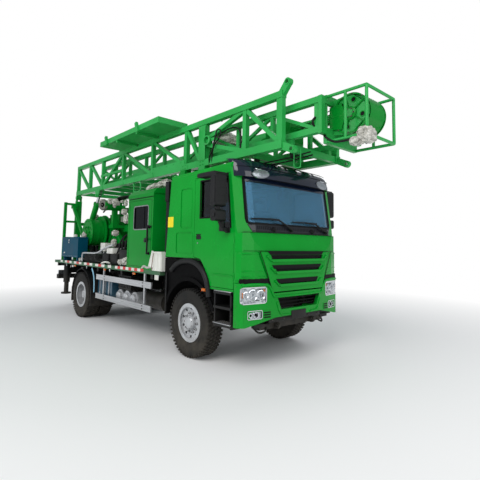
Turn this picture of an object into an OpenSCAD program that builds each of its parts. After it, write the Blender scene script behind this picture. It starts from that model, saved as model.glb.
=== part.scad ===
// Truck-mounted workover rig in its road position: the two-part mast lies
// over the cab and a rest frame, and hinges on a stand at the tail.
// +X points to the front of the truck, +Y to its left, +Z up.
// The modules are drawn with x = 0 at the front axle; place() then centres the whole.

/* [Truck] */
// Distance between the front and the rear axle
wheelbase = 4490; // [4350:10:4650]
// Width over the deck and over the twin tyres
truck_w = 2490; // [2400:10:2550]
// Distance from the front axle back to the tail beam
tail = 6600; // [6580:10:6700]
// Width over the two chassis rails
rails_w = 860; // [780:10:900]
// Height of a chassis rail
rail_h = 280; // [220:10:300]
// Height of the rails' top above the ground
rail_top = 1060; // [1040:10:1100]
// Height of the deck's top above the ground
deck_z = 1310; // [1290:10:1360]
// Thickness of the deck with its edge channel
deck_t = 70; // [50:5:80]

/* [Wheels] */
// Outer diameter of a tyre
tyre_d = 1084; // [1050:2:1100]
// Width of one tyre
tyre_w = 296; // [270:2:300]
// Diameter over the rim flange
rim_d = 610; // [580:2:640]
// Distance from the truck's middle to the outer face of a front tyre
front_face = 1190; // [1170:5:1230]
// Gap between the two tyres of a twin wheel
twin_gap = 36; // [24:2:60]
// Diameter of a wheel spindle
spindle_d = 90; // [70:2:110]
// Distance from the truck's middle to a kingpin
kingpin_y = 856; // [840:2:862]

/* [Cab] */
// Width over the cab's sides
cab_w = 2360; // [2300:10:2400]
// Position of the cab's rear wall, behind the front axle
cab_back = 740; // [700:10:760]
// Position of the windscreen's lower edge, ahead of the front axle
cab_nose = 1215; // [1190:5:1240]
// Height of the cab's roof
cab_roof = 2970; // [2920:10:3000]
// Height of the cab's lower edge at the doors
cab_sill = 1130; // [1100:10:1150]
// Thickness of the cab's walls and doors
cab_wall = 50; // [30:5:60]
// Thickness of window glass
glass_t = 8; // [5:1:10]
// Gap round a door
door_gap = 7; // [6:1:10]

/* [Operator cabin] */
// Length of the operator's cabin along the truck
booth_l = 980; // [850:10:1000]
// Depth of the operator's cabin across the truck
booth_d = 820; // [700:10:900]
// Height of the operator's cabin above the deck
booth_h = 1430; // [1380:10:1540]
// Thickness of its walls
booth_wall = 40; // [30:5:50]

/* [Mast] */
// Distance from the front axle back to the mast's hinge
hinge_back = 6450; // [6440:10:6470]
// How far the mast's hinge lies under the middle of the bottom chord
hinge_drop = 130; // [120:5:150]
// Width between the middles of the lower section's chords
mast_w = 1380; // [1340:10:1400]
// Gap between the cab's roof and the bottom chord
mast_clear = 220; // [200:10:250]
// Height between the middles of the bottom and the top chord
mast_h = 750; // [700:10:800]
// Side of the bottom chord's square tube
chord_b = 120; // [100:5:130]
// Side of the top chord's square tube
chord_t = 100; // [80:5:110]
// How far the lower section reaches ahead of the front axle
mast_front = 1570; // [1500:10:1600]
// Width between the middles of the upper section's chords
upper_w = 940; // [880:10:960]
// Height between the middles of the upper section's chords
upper_h = 430; // [380:10:450]
// Side of the upper section's square tubes
upper_chord = 90; // [80:5:100]
// How far the upper section reaches ahead of the front axle
upper_front = 2040; // [2000:10:2100]
// Diameter of a crown sheave
sheave_d = 520; // [440:10:560]
// Length of the guard cage ahead of the upper section
cage_l = 680; // [640:10:720]
// Length of the work platform
board_l = 2700; // [2400:50:2800]
// Distance from the front axle back to the platform's hinge
board_back = 3720; // [3650:10:3800]

/* [Drawworks] */
// Diameter of the drum's near disc
disc_d = 720; // [600:10:760]
// Diameter of the drum's barrel
drum_d = 680; // [600:10:700]
// Distance from the front axle back to the drum's shaft
drum_back = 5050; // [5000:10:5100]
// Height of the drum's shaft
drum_z = 2070; // [2050:10:2120]

/* [Hidden] */

$fn = 48;
fit = 0.05;       // radial clearance of a shaft in its bore
seat = 0.3;       // gap between a moving piece and what it rests on
past = 20;        // how far a cutting shape runs past the wall that it cuts
side_y = truck_w / 2;
cab_y = cab_w / 2;
axle_z = tyre_d / 2;
chord_z = cab_roof + mast_clear + chord_b / 2;
hinge_z = chord_z - hinge_drop;
nose = upper_front + cage_l;
sides = [-1, 1];  // right side, left side

// Puts what is drawn from the front axle into the frame at the box's centre
module place() {
    translate([(tail - nose) / 2, 0, 0]) children();
}

// A shape drawn in (x, z), made into a slab from y0 to y1
module slab(y0, y1) {
    translate([0, y1, 0]) rotate([90, 0, 0]) linear_extrude(y1 - y0) children();
}

// A shape drawn in (x, z), made h thick from y = 0 on
module thick_y(h) {
    slab(0, h) children();
}

// A shape drawn in (y, z), made into a slab from x0 to x1
module wall_x(x0, x1) {
    translate([x0, 0, 0]) rotate([90, 0, 90]) linear_extrude(x1 - x0) children();
}

// A block between two opposite corners
module block_at(low, high) {
    translate(low) cube(high - low);
}

// A round bar along Y
module bar_y(x, z, y0, y1, d) {
    translate([x, y1, z]) rotate([90, 0, 0]) cylinder(d = d, h = y1 - y0);
}

// A square tube's outline between two points of a side truss, deep in (x, z), thick in y
module strut(a, b, deep, thick) {
    run = b - a;
    translate([a[0], 0, a[1]])
        rotate([0, -atan2(run[1], run[0]), 0])
            translate([0, -thick / 2, -deep / 2])
                cube([norm(run), thick, deep]);
}

// A straight round bar between two points in space
module rod_to(a, b, d) {
    run = b - a;
    translate(a)
        rotate([0, acos(run[2] / norm(run)), atan2(run[1], run[0])])
            cylinder(d = d, h = norm(run), $fn = 16);
}

// A door's hinge on the upright axis (x, y): ears with their pin, the tube between them, and their room
hinge_d = 22;
hinge_pin_d = 12;
hinge_l = 60;
ear_l = 20;
module hinge_ears(x, y, z) {
    translate([x, y, z]) {
        cylinder(d = hinge_pin_d, h = hinge_l + ear_l, center = true);
        for (k = sides)
            translate([0, 0, k * (hinge_l + ear_l) / 2]) cylinder(d = hinge_d, h = ear_l, center = true);
    }
}
module hinge_room(x, y, z, h) {
    translate([x, y, z]) cylinder(d = hinge_d + 14, h = h, center = true);
}
module hinge_tube(x, y, z, leaf) {
    translate([x, y, z]) difference() {
        union() {
            cylinder(d = hinge_d, h = hinge_l - 2 * seat, center = true);
            translate([leaf[0] / 2, leaf[1] / 2, 0])
                cube([abs(leaf[0]), abs(leaf[1]), hinge_l - 2 * seat], center = true);
        }
        cylinder(d = hinge_pin_d + 2 * fit, h = 2 * hinge_l, center = true);
    }
}

// A rectangle with round corners, from low to high
module plate_2d(low, high, r) {
    hull_w = high - low;
    translate(low + [r, 0]) square([hull_w[0] - 2 * r, hull_w[1]]);
    translate(low + [0, r]) square([hull_w[0], hull_w[1] - 2 * r]);
    for (x = [low[0] + r, high[0] - r])
        for (z = [low[1] + r, high[1] - r])
            translate([x, z]) circle(r, $fn = 24);
}

// Chassis

// Place in the bay between the rear guard and the steps, as a share of its length
bay_back = -wheelbase + 850;
bay_l = -1100 - bay_back;
function bay(share) = bay_back + share * bay_l;

rail_t = 80;
rail_low = rail_top - rail_h;
cross_x = [950, -1150, bay(0.492), bay(0.016), -5300, -6350];
sub_h = deck_z - deck_t - rail_top;

module frame() color("#202224") place() {
    for (s = sides)
        block_at([-tail + 150, s > 0 ? rails_w / 2 - rail_t : -rails_w / 2, rail_low],
                 [1080, s > 0 ? rails_w / 2 : -rails_w / 2 + rail_t, rail_top]);
    for (x = cross_x)
        block_at([x - 50, -rails_w / 2 + rail_t, rail_low + 30],
                 [x + 50, rails_w / 2 - rail_t, rail_top - 30]);
    // Subframe under the deck
    for (s = sides)
        block_at([-tail + 150, s > 0 ? rails_w / 2 - rail_t : -rails_w / 2, rail_top],
                 [-cab_back - 40, s > 0 ? rails_w / 2 : -rails_w / 2 + rail_t, rail_top + sub_h]);
    // Mounts under the cab, at its rear and at the doors' floor
    for (s = sides)
        for (k = [[-700, floor_z], [950, cab_sill]])
            block_at([k[0], s > 0 ? rails_w / 2 - rail_t : -rails_w / 2, rail_top],
                     [k[0] + 100, s > 0 ? rails_w / 2 : -rails_w / 2 + rail_t, k[1]]);
    // Outriggers that carry the deck, the guards and the tanks
    for (x = [for (i = [1 : len(cross_x) - 1]) cross_x[i]])
        block_at([x - 40, -side_y + 40, rail_top + sub_h - 90], [x + 40, side_y - 40, rail_top + sub_h]);
    // Front towing beam under the bumper
    block_at([1080, -760, 560], [1180, 760, 640]);
    for (s = sides)
        block_at([960, s * 420 - 40, 560], [1080, s * 420 + 40, rail_low + 40]);
    for (s = sides)
        translate([tow_eye[0], s * tow_eye[1], tow_eye[2]]) difference() {
            union() {
                rotate([90, 0, 0]) cylinder(d = 90, h = 40, center = true);
                translate([-45, 0, 0]) cube([60, 40, 90], center = true);
            }
            rotate([90, 0, 0]) cylinder(d = tow_hole, h = 60, center = true);
        }
    // Tail beam
    block_at([-tail, -1150, 780], [-tail + 150, 1150, 900]);
    // Sleeves of the levelling jacks, each on an arm
    for (s = sides) difference() {
        union() {
            translate([jack_x, s * jack_y, sleeve_z]) cylinder(d = jack_d + 50,
                                                               h = deck_z - deck_t - sleeve_z);
            block_at([jack_x - 45, s > 0 ? rails_w / 2 : -jack_y, 950],
                     [jack_x + 45, s > 0 ? jack_y : -rails_w / 2, 1100]);
        }
        translate([jack_x, s * jack_y, 0]) cylinder(d = jack_d + 2 * fit, h = deck_z - deck_t - 10);
    }
}
tow_hole = 44;
tow_eye = [1230, 420, 600];
sleeve_z = 700;

// Beam axle with a boss for the kingpin at each end
module front_axle() color("#1b1c1e") place() {
    difference() {
        union() {
            translate([0, 0, axle_z - 60])
                cube([110, 2 * kingpin_y - 280, 100], center = true);
            for (s = sides) {
                translate([0, s * (kingpin_y - 120), axle_z - 20]) cube([100, 110, 150], center = true);
                translate([0, s * (kingpin_y - 70), axle_z]) cube([80, 70, 96], center = true);
                translate([0, s * kingpin_y, axle_z - 50]) cylinder(d = 110, h = 100);
            }
        }
        for (s = sides)
            translate([0, s * kingpin_y, axle_z - 100]) cylinder(d = kingpin_d + 2 * fit, h = 200);
    }
}
kingpin_d = 50;
pin_reach = 90;   // how far the knuckle's pin reaches above and below the wheel's axis

// Steering knuckle: two ears and the pin round the axle's boss, and the spindle
module knuckle(s) color("#2b2c2e") place() translate([0, s * kingpin_y, axle_z]) {
    cylinder(d = kingpin_d, h = 2 * pin_reach, center = true);
    for (k = sides)
        translate([0, 0, k * (50 + 5 + 18)]) cylinder(d = 110, h = 36, center = true);
    translate([0, s * 74, 0]) rotate([90, 0, 0]) cylinder(d = 150, h = 24, center = true);
    for (k = sides)
        translate([0, s * 40, k * (50 + 5 + 18)]) cube([90, 80, 36], center = true);
    spindle_end = front_face - kingpin_y - 24;
    translate([0, s * (spindle_end + 74) / 2, 0])
        rotate([90, 0, 0]) cylinder(d = spindle_d, h = spindle_end - 74, center = true);
}

// Driven axle: round casing, tubes and spindles
module rear_axle() color("#1b1c1e") place() translate([-wheelbase, 0, axle_z]) {
    sphere(d = 440, $fn = 40);
    rotate([90, 0, 0]) cylinder(d = 150, h = 1240, center = true);
    rotate([90, 0, 0]) cylinder(d = spindle_d, h = 2 * (side_y - 90), center = true);
    // Propeller shaft to the gearbox
    rod_to([190, 0, 20], [wheelbase - 1094, 0, rail_low - 42 - axle_z], 110);
}

// Leaf springs with their hangers
leaf_w = 90;
spring_y = 400;
module spring(x, half, low) {
    for (s = sides)
        translate([x, s * spring_y, 0]) {
            for (leaf = [0 : 3])
                translate([0, 0, low + 12 + leaf * 22])
                    cube([2 * half - leaf * 260, leaf_w, 24], center = true);
            for (k = sides)
                translate([k * (half - 40), 0, (low + rail_low) / 2])
                    cube([60, leaf_w - 20, rail_low - low], center = true);
        }
}
module springs() color("#191a1b") place() {
    spring(0, 760, axle_z - 10);
    spring(-wheelbase, 800, axle_z + 75);
}

// Engine and gearbox as one plain block
module engine() color("#3a3c3e") place() {
    half = rails_w / 2 - rail_t - 10;
    block_at([-420, -half, rail_low - 60], [sill_back - 20, half, floor_z - 80]);
    block_at([sill_back - 20, -half, rail_low - 60], [900, half, cab_sill - 15]);
    block_at([-1090, -180, rail_low - 60], [-420, 180, rail_top - 20]);
}

// Wheels

// One tyre's section as (radius, y) points, open towards the rim
function tyre_section(w) = [
    [rim_d / 2 - 18, -w / 2 + 34], [rim_d / 2, -w / 2 + 34], [rim_d / 2 + 30, -w / 2 + 14],
    [(rim_d + tyre_d) / 4, -w / 2], [tyre_d / 2 - 40, -w / 2 + 14],
    [tyre_d / 2, -w / 2 + 40], [tyre_d / 2, w / 2 - 40],
    [tyre_d / 2 - 40, w / 2 - 14], [(rim_d + tyre_d) / 4, w / 2],
    [rim_d / 2 + 30, w / 2 - 14], [rim_d / 2, w / 2 - 34], [rim_d / 2 - 18, w / 2 - 34]
];
module tyre(y) {
    translate([0, y, 0]) rotate([90, 0, 0]) rotate_extrude($fn = 64) polygon(tyre_section(tyre_w));
}

// The rim under a tyre: a ring with flanges
module rim_ring(y) {
    r = rim_d / 2;
    w = tyre_w;
    translate([0, y, 0]) rotate([90, 0, 0]) rotate_extrude($fn = 64)
        polygon([[r - 60, -w / 2 + 20], [r - 2, -w / 2 + 20], [r - 2, -w / 2 + 33.7],
                 [r - 18.3, -w / 2 + 33.7],
                 [r - 18.3, w / 2 - 33.7], [r - 2, w / 2 - 33.7], [r - 2, w / 2 - 20], [r - 60, w / 2 - 20],
                 [r - 34, w / 2 - 50], [r - 34, -w / 2 + 50]]);
}

hand_holes = 10;
wheel_nuts = 10;

// The wheel's disc, dished from the rim (y_rim) to the hub's face (y_hub), outwards on side s
module disc(s, y_rim, y_hub, drum_in, cap_out) {
    difference() {
        rotate([90, 0, 0]) mirror([0, 0, s > 0 ? 1 : 0])
            rotate_extrude($fn = 64)
                polygon([[spindle_d / 2 + fit, y_hub - 14], [190, y_hub - 14], [rim_d / 2 - 50, y_rim - 14],
                         [rim_d / 2 - 30, y_rim - 14], [rim_d / 2 - 30, y_rim + 12],
                         [rim_d / 2 - 56, y_rim],
                         [186, y_hub], [spindle_d / 2 + fit, y_hub]]);
        for (i = [0 : hand_holes - 1])
            rotate([0, (i + 0.5) * 360 / hand_holes, 0])
                translate([222, 0, 0]) rotate([90, 0, 0]) cylinder(d = 46, h = 4000, center = true,
                                                                   $fn = 24);
    }
    // Hub, capped at the end
    rotate([90, 0, 0]) mirror([0, 0, s > 0 ? 1 : 0]) rotate_extrude($fn = 48)
        polygon([[spindle_d / 2 + fit, drum_in], [120, drum_in], [120, y_hub - 8], [112, y_hub + 30],
                 [104, cap_out - 20], [84, cap_out], [0, cap_out], [0, cap_out - 16],
                 [spindle_d / 2 + fit, cap_out - 16]]);
    // Brake drum behind the disc
    rotate([90, 0, 0]) mirror([0, 0, s > 0 ? 1 : 0]) rotate_extrude($fn = 48)
        polygon([[110, y_hub - 22], [110, y_hub - 13], [205, y_hub - 13], [205, drum_in + 6],
                 [186, drum_in + 6], [186, y_hub - 22]]);
    for (i = [0 : wheel_nuts - 1])
        rotate([0, i * 360 / wheel_nuts, 0])
            translate([150, s * (y_hub + 12), 0]) rotate([90, 0, 0])
                cylinder(d = 32, h = 26, center = true, $fn = 6);
}

front_tyre_y = front_face - tyre_w / 2;
module front_tyre(s) color("#1c1c1d") place() translate([0, 0, axle_z]) tyre(s * front_tyre_y);
module front_rim(s) color("#c9ccd0") place() translate([0, 0, axle_z]) {
    rim_ring(s * front_tyre_y);
    disc(s, front_face - 60, front_face - 76, kingpin_y + 92, front_face - 4);
}

rear_outer = side_y - tyre_w / 2;
rear_inner = rear_outer - tyre_w - twin_gap;
module rear_tyres(s) color("#1c1c1d") place() translate([-wheelbase, 0, axle_z])
    for (y = [rear_outer, rear_inner]) tyre(s * y);
module rear_rim(s) color("#c9ccd0") place() translate([-wheelbase, 0, axle_z]) {
    rim_ring(s * rear_outer);
    rim_ring(s * rear_inner);
    disc(s, side_y - tyre_w - 2, side_y - tyre_w - 40, side_y - 2 * tyre_w - 20, side_y - 74);
    // Spacer band between the two rims
    rotate([90, 0, 0]) mirror([0, 0, s > 0 ? 1 : 0])
        rotate_extrude($fn = 48)
            polygon([[rim_d / 2 - 58, rear_inner + tyre_w / 2 - 22],
                     [rim_d / 2 - 34, rear_inner + tyre_w / 2 - 22],
                     [rim_d / 2 - 34, rear_outer - tyre_w / 2 + 22],
                     [rim_d / 2 - 58, rear_outer - tyre_w / 2 + 22]]);
}

// Cab

floor_z = 1560;         // underside of the cab's floor over the wheel arches and the engine
screen_low = 1975;      // height of the windscreen's lower edge
screen_top = cab_roof - 110;   // height of the windscreen's upper edge
window_top = screen_top - 60;  // height of a side window's upper edge
screen_rake = 130;      // how far the windscreen leans back over its height
screen_bend = 880;      // half width of its flat middle
screen_turn = 18;       // angle by which its ends turn back
back_rake = 120;        // how far the rear wall leans forward over its height
sill_back = 520;        // where the low floor at the doors ends, ahead of the front axle
lip_z = 1700;           // height of the fold under the windscreen panel

// Outline of the cab seen from the side, drawn in by i
function cab_side(i) = [
    [-cab_back + i, floor_z + i], [-cab_back + back_rake + i, screen_top + 30],
    [-cab_back + back_rake + 60 + i, cab_roof - i], [cab_nose - screen_rake - 50 - i, cab_roof + 30 - i],
    [cab_nose - screen_rake - i, screen_top - i / 2], [cab_nose - i, screen_low],
    [cab_nose + 45 - i, lip_z], [cab_nose + 65 - i, cab_sill + i],
    [sill_back + i, cab_sill + i], [sill_back + i, floor_z + i]
];

// Outline of the cab seen from above, drawn in by i
function cab_plan(i) = [
    [-cab_back - 100, -cab_y + i], [cab_nose - 115, -cab_y + i], [cab_nose - 35, -cab_y + 60 + i],
    [cab_nose + 20 - i, -cab_y + 240], [cab_nose + 72 - i, -cab_y + 640],
    [cab_nose + 80 - i, 0],
    [cab_nose + 72 - i, cab_y - 640], [cab_nose + 20 - i, cab_y - 240],
    [cab_nose - 35, cab_y - 60 - i], [cab_nose - 115, cab_y - i], [-cab_back - 100, cab_y - i]
];

// Upper edge of the bumper's raised end, from the middle outwards as (y, z)
bumper_end = [[610, 1095], [700, 1245], [cab_y, 1255]];
bumper_back = 1082;

// What the turned ends of the windscreen take off the cab's upper front corners
module screen_corners(i) {
    for (s = sides)
        translate([cab_nose, s * screen_bend, screen_low])
            rotate([0, -atan2(screen_rake, screen_top - screen_low), 0])
                rotate([0, 0, s * screen_turn])
                    translate([-i, -600, i / 4]) cube([500, 1200, 1300]);
}

// The cab's body drawn in by i, without the room of the bumper's raised ends
module cab_form(i) {
    difference() {
        intersection() {
            slab(-cab_y, cab_y) polygon(cab_side(i));
            translate([0, 0, cab_sill - 50]) linear_extrude(cab_roof - cab_sill + 150) polygon(cab_plan(i));
        }
        screen_corners(i);
        for (s = sides)
            wall_x(bumper_back - 12 - i, cab_nose + 200)
                polygon([[s * (bumper_end[0][0] - 8 - i), cab_sill - past - 20],
                         [s * (bumper_end[1][0] - 8 - i), bumper_end[1][1] + 6 + i],
                         [s * (cab_y + past), bumper_end[2][1] + 6 + i],
                         [s * (cab_y + past), cab_sill - past - 20]]);
    }
}

// Door outline, drawn in by g; the rear lower corner follows the wheel arch
door_back = 100;
door_front = cab_nose - 140;
function door_edge(g) = [
    [door_back + g, floor_z + 30 + g], [door_back + g, screen_top - g],
    [door_front - 105 - g, screen_top - g], [door_front - g, screen_low],
    [door_front - g, cab_sill + 30 + g], [sill_back - 40 + g, cab_sill + 30 + g],
    [sill_back - 120 + g, floor_z - 150 + g], [door_back + 190, floor_z - 10 + g]
];
door_hinges = [1350, 1850];   // heights of a cab door's two hinges

// Side window outline with its dropped front corner, drawn out by g
function window_edge(g) = [
    [250 - g, 2210 - g], [250 - g, window_top + g], [925 + g, window_top + g], [1000 + g, 2040 - g],
    [790 - g, 2040 - g], [760 - g, 2210 - g]
];

// Windscreen outline seen from the front, over the cowl
function screen_edge(g) = [
    [-1020 - g, cowl_z[1] + 8 - g], [-1010 - g, screen_top - 30 + g],
    [1010 + g, screen_top - 30 + g], [1020 + g, cowl_z[1] + 8 - g]
];

module cab_shell() color("#1fa33c") place() {
    difference() {
        cab_form(0);
        cab_form(cab_wall);
        wall_x(700, 1500) polygon(screen_edge(0));
        cowl_room();
        for (s = sides)
            slab(s > 0 ? cab_y - cab_wall - past : -cab_y - past,
                 s > 0 ? cab_y + past : -cab_y + cab_wall + past)
                polygon(door_edge(0));
        for (s = sides)
            for (z = door_hinges)
                hinge_room(door_front, s * cab_y, z, hinge_l);
        // Pressed panels behind the doors
        for (s = sides)
            slab(s > 0 ? cab_y - 7 : -cab_y - past, s > 0 ? cab_y + past : -cab_y + 7) {
                plate_2d([-300, 2060], [20, 2720], 50);
                plate_2d([-420, 1640], [60, 1990], 40);
            }
        // Rear window
        wall_x(-cab_back - 100, -cab_back + 300) plate_2d([-420, 2250], [420, 2650], 60);
        // Bay of the grille panel
        intersection() {
            wall_x(cab_nose, cab_nose + 100) polygon(grille_edge(0));
            slab(-900, 900) polygon([[cab_nose + bay_in, lip_z + 10],
                                     [cab_nose + bay_in + 20, cab_sill - 30],
                                     [cab_nose + 200, cab_sill - 30], [cab_nose + 200, lip_z + 10]]);
        }
    }
    for (s = sides)
        for (z = door_hinges)
            hinge_ears(door_front, s * cab_y, z);
    // Corner panels beside the grille
    for (s = sides)
        intersection() {
            difference() {
                cab_form(-corner_out);
                cab_form(cab_wall / 2);
            }
            wall_x(door_front + 20, cab_nose + 200)
                polygon([[s * 884, lip_z - 8], [s * (cab_y + past), lip_z - 8],
                         [s * (cab_y + past), corner_low], [s * 706, corner_low]]);
        }
    // Rounded rails along the roof's edges
    for (s = sides)
        translate([0, s * (cab_y - 34), cab_roof - 14])
            rotate([0, 90 - 1.15, 0]) translate([0, 0, -600]) cylinder(d = 74, h = 1590);
}

corner_out = 16;    // how far the corner panels stand proud
corner_low = 1300;

// Sunk band for the wipers under the windscreen
cowl_z = [1985, 2100];
module cowl_room() {
    intersection() {
        difference() {
            cab_form(-past);
            cab_form(10);
        }
        wall_x(cab_nose - 200, cab_nose + 200)
            polygon([[-1010, cowl_z[1]], [1010, cowl_z[1]], [940, cowl_z[0]], [-940, cowl_z[0]]]);
    }
}

// Outline of the grille panel seen from the front, drawn in by g
function grille_edge(g) = [
    [-860 + g, lip_z - g], [860 - g, lip_z - g], [600 - g, cab_sill - 20 + g], [-600 + g, cab_sill - 20 + g]
];

// Depth of the bay in the cab's front that takes the grille panel
bay_in = 18;

// Each slot of the grille: height, half width
slots = [[1620, 640], [1440, 550], [1250, 470]];
slot_h = 66;
grille_out = 26;  // how far the panel stands proud of the cab's front

module grille() color("#22a840") place() {
    difference() {
        intersection() {
            wall_x(cab_nose, cab_nose + 150) polygon(grille_edge(4));
            slab(-900, 900) polygon([
                [cab_nose + bay_in + 20, cab_sill - 30], [cab_nose + bay_in, lip_z + 10],
                [cab_nose + 45 + grille_out, lip_z + 10], [cab_nose + 65 + grille_out, cab_sill - 30]]);
            translate([grille_out, 0, cab_sill - 50]) linear_extrude(700) polygon(cab_plan(0));
        }
        for (k = slots)
            wall_x(cab_nose, cab_nose + 200)
                polygon([[-k[1], k[0] + slot_h / 2], [k[1], k[0] + slot_h / 2],
                         [k[1] - 30, k[0] - slot_h / 2], [-k[1] + 30, k[0] - slot_h / 2]]);
    }
    // Lip under each slot
    for (k = slots)
        intersection() {
            wall_x(cab_nose + 40, cab_nose + 110)
                polygon([[-k[1] - 20, k[0] - slot_h / 2 + 4], [k[1] + 20, k[0] - slot_h / 2 + 4],
                         [k[1] - 20, k[0] - slot_h / 2 - 34], [-k[1] + 20, k[0] - slot_h / 2 - 34]]);
            translate([grille_out + 14, 0, cab_sill - 50]) linear_extrude(700) polygon(cab_plan(0));
        }
}

// Bumper with its lamp panels: the outline seen from the front, and a bent shell
bumper_low = 640;
bumper_out = 1320;
function bumper_plan(i) = [
    [bumper_back, -cab_y - past], [bumper_back, -cab_y + i], [1140, -cab_y + i],
    [1215 - i / 2, -cab_y + 60 + i / 2],
    [bumper_out - 55 - i, -850], [bumper_out - 8 - i, -500], [bumper_out - i, 0],
    [bumper_out - 8 - i, 500], [bumper_out - 55 - i, 850], [1215 - i / 2, cab_y - 60 - i / 2],
    [1140, cab_y - i], [bumper_back, cab_y - i], [bumper_back, cab_y + past]
];
module bumper_skin(i, t) {
    difference() {
        linear_extrude(700) polygon([for (q = bumper_plan(i)) [q[0], max(-cab_y + i, min(cab_y - i,
                                                                                         q[1]))]]);
        translate([0, 0, -past]) linear_extrude(800)
            polygon(concat([[900, -cab_y + i + t]], [for (q = bumper_plan(i + t))
                [q[0], max(-cab_y + i + t, min(cab_y - i - t, q[1]))]], [[900, cab_y - i - t]]));
    }
}
function lamp_edge(s, g) = [[s > 0 ? 715 + g : -1150 + g, 960 + g],
                            [s > 0 ? 1150 - g : -715 - g, 1200 - g]];
module bumper() color("#1fa33c") place() {
    difference() {
        intersection() {
            translate([0, 0, bumper_low - past]) bumper_skin(0, 60);
            wall_x(900, 1500) polygon([
                [-bumper_end[2][0], bumper_end[2][1]], [-bumper_end[1][0], bumper_end[1][1]],
                [-bumper_end[0][0], bumper_end[0][1]], bumper_end[0], bumper_end[1], bumper_end[2],
                [cab_y, bumper_low], [1080, bumper_low], [540, 745], [-540, 745], [-1080, bumper_low],
                [-cab_y, bumper_low]]);
        }
        wall_x(1150, 1500) polygon([[-520, 1045], [520, 1045], [430, 850], [-430, 850]]);
        for (s = sides) {
            wall_x(1100, 1500) plate_2d(lamp_edge(s, 0)[0], lamp_edge(s, 0)[1], 40);
            wall_x(1100, 1500) plate_2d([s > 0 ? 640 : -1000, 745], [s > 0 ? 1000 : -640, 850], 30);
        }
    }
    // Brackets back to the chassis
    for (s = sides)
        block_at([1080, s * 390 - 40, 785], [bumper_out - 30, s * 390 + 40, 845]);
}

// Head lamps and fog lamps in the bumper, tail lamps on the tail beam
module lamps() color("#e8eef2") place() {
    for (s = sides) {
        intersection() {
            translate([0, 0, bumper_low - past]) bumper_skin(6, 50);
            wall_x(1100, 1500) plate_2d(lamp_edge(s, 1)[0], lamp_edge(s, 1)[1], 39);
        }
        intersection() {
            translate([0, 0, bumper_low - past]) bumper_skin(10, 40);
            wall_x(1100, 1500) plate_2d([s > 0 ? 641 : -999, 746], [s > 0 ? 999 : -641, 849], 29);
        }
        block_at([-tail, s > 0 ? 760 : -1120, 900], [-tail + 60, s > 0 ? 1120 : -760, 1010]);
    }
}

// Windscreen and rear window
module cab_glass() color("#9fc4d8", 0.5) place() {
    intersection() {
        difference() {
            cab_form(12);
            cab_form(12 + glass_t);
        }
        wall_x(700, 1500) polygon(screen_edge(0));
    }
    intersection() {
        difference() {
            cab_form(20);
            cab_form(20 + glass_t);
        }
        wall_x(-cab_back - 100, -cab_back + 300) plate_2d([-420, 2250], [420, 2650], 60);
    }
}

// Dark visor: a shell over the windscreen that wraps round the roof's corners
visor_x = cab_nose - screen_rake;
visor_y = 1168;
visor_low = window_top;
visor_t = 14;
function visor_side(i) = [
    [visor_x - 75 - i, cab_roof + 44 - i], [visor_x - 75 - i, cab_roof + 140 - i],
    [visor_x + 8 - i / 2, cab_roof + 122 - i], [visor_x + 52 - i, cab_roof + 80 - i / 2],
    [visor_x + 84 - i, cab_roof + 20], [visor_x + 106 - i, cab_roof - 80],
    [visor_x + 112 - i, visor_low - i],
    [visor_x + 20 - i, visor_low - i], [visor_x + 5 - i, screen_top + 10],
    [visor_x + 4 - i, cab_roof + 44 - i]
];
function visor_half(i) = [
    [visor_x + 112 - i, 0], [visor_x + 108 - i, 600], [visor_x + 96 - i, 900], [visor_x + 78 - i, 1060],
    [visor_x + 50 - i, 1130 - i / 2], [visor_x + 12 - i / 2, visor_y - i], [visor_x - 120, visor_y - i]
];
module visor_form(i) {
    half = visor_half(i);
    intersection() {
        slab(-visor_y, visor_y) polygon(visor_side(i));
        translate([0, 0, visor_low - 2 * past]) linear_extrude(700)
            polygon(concat(half, [for (k = [len(half) - 1 : -1 : 1]) [half[k][0], -half[k][1]]]));
    }
}
module sun_visor() color("#10151d") place() {
    difference() {
        visor_form(0);
        visor_form(visor_t);
    }
    // Two brackets from the slope over the windscreen
    slope = [[visor_x - 50, cab_roof + 30], [visor_x, screen_top]];
    for (s = sides)
        slab(s > 0 ? 700 : -720, s > 0 ? 720 : -700)
            polygon([slope[0] + [seat, 0], slope[0] * 0.3 + slope[1] * 0.7 + [seat, 0],
                     [visor_x + 95, visor_low + 40], [visor_x + 95, cab_roof - 80],
                     [visor_x + 76, cab_roof + 16],
                     [visor_x + 2, cab_roof + 112]]);
}

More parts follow.
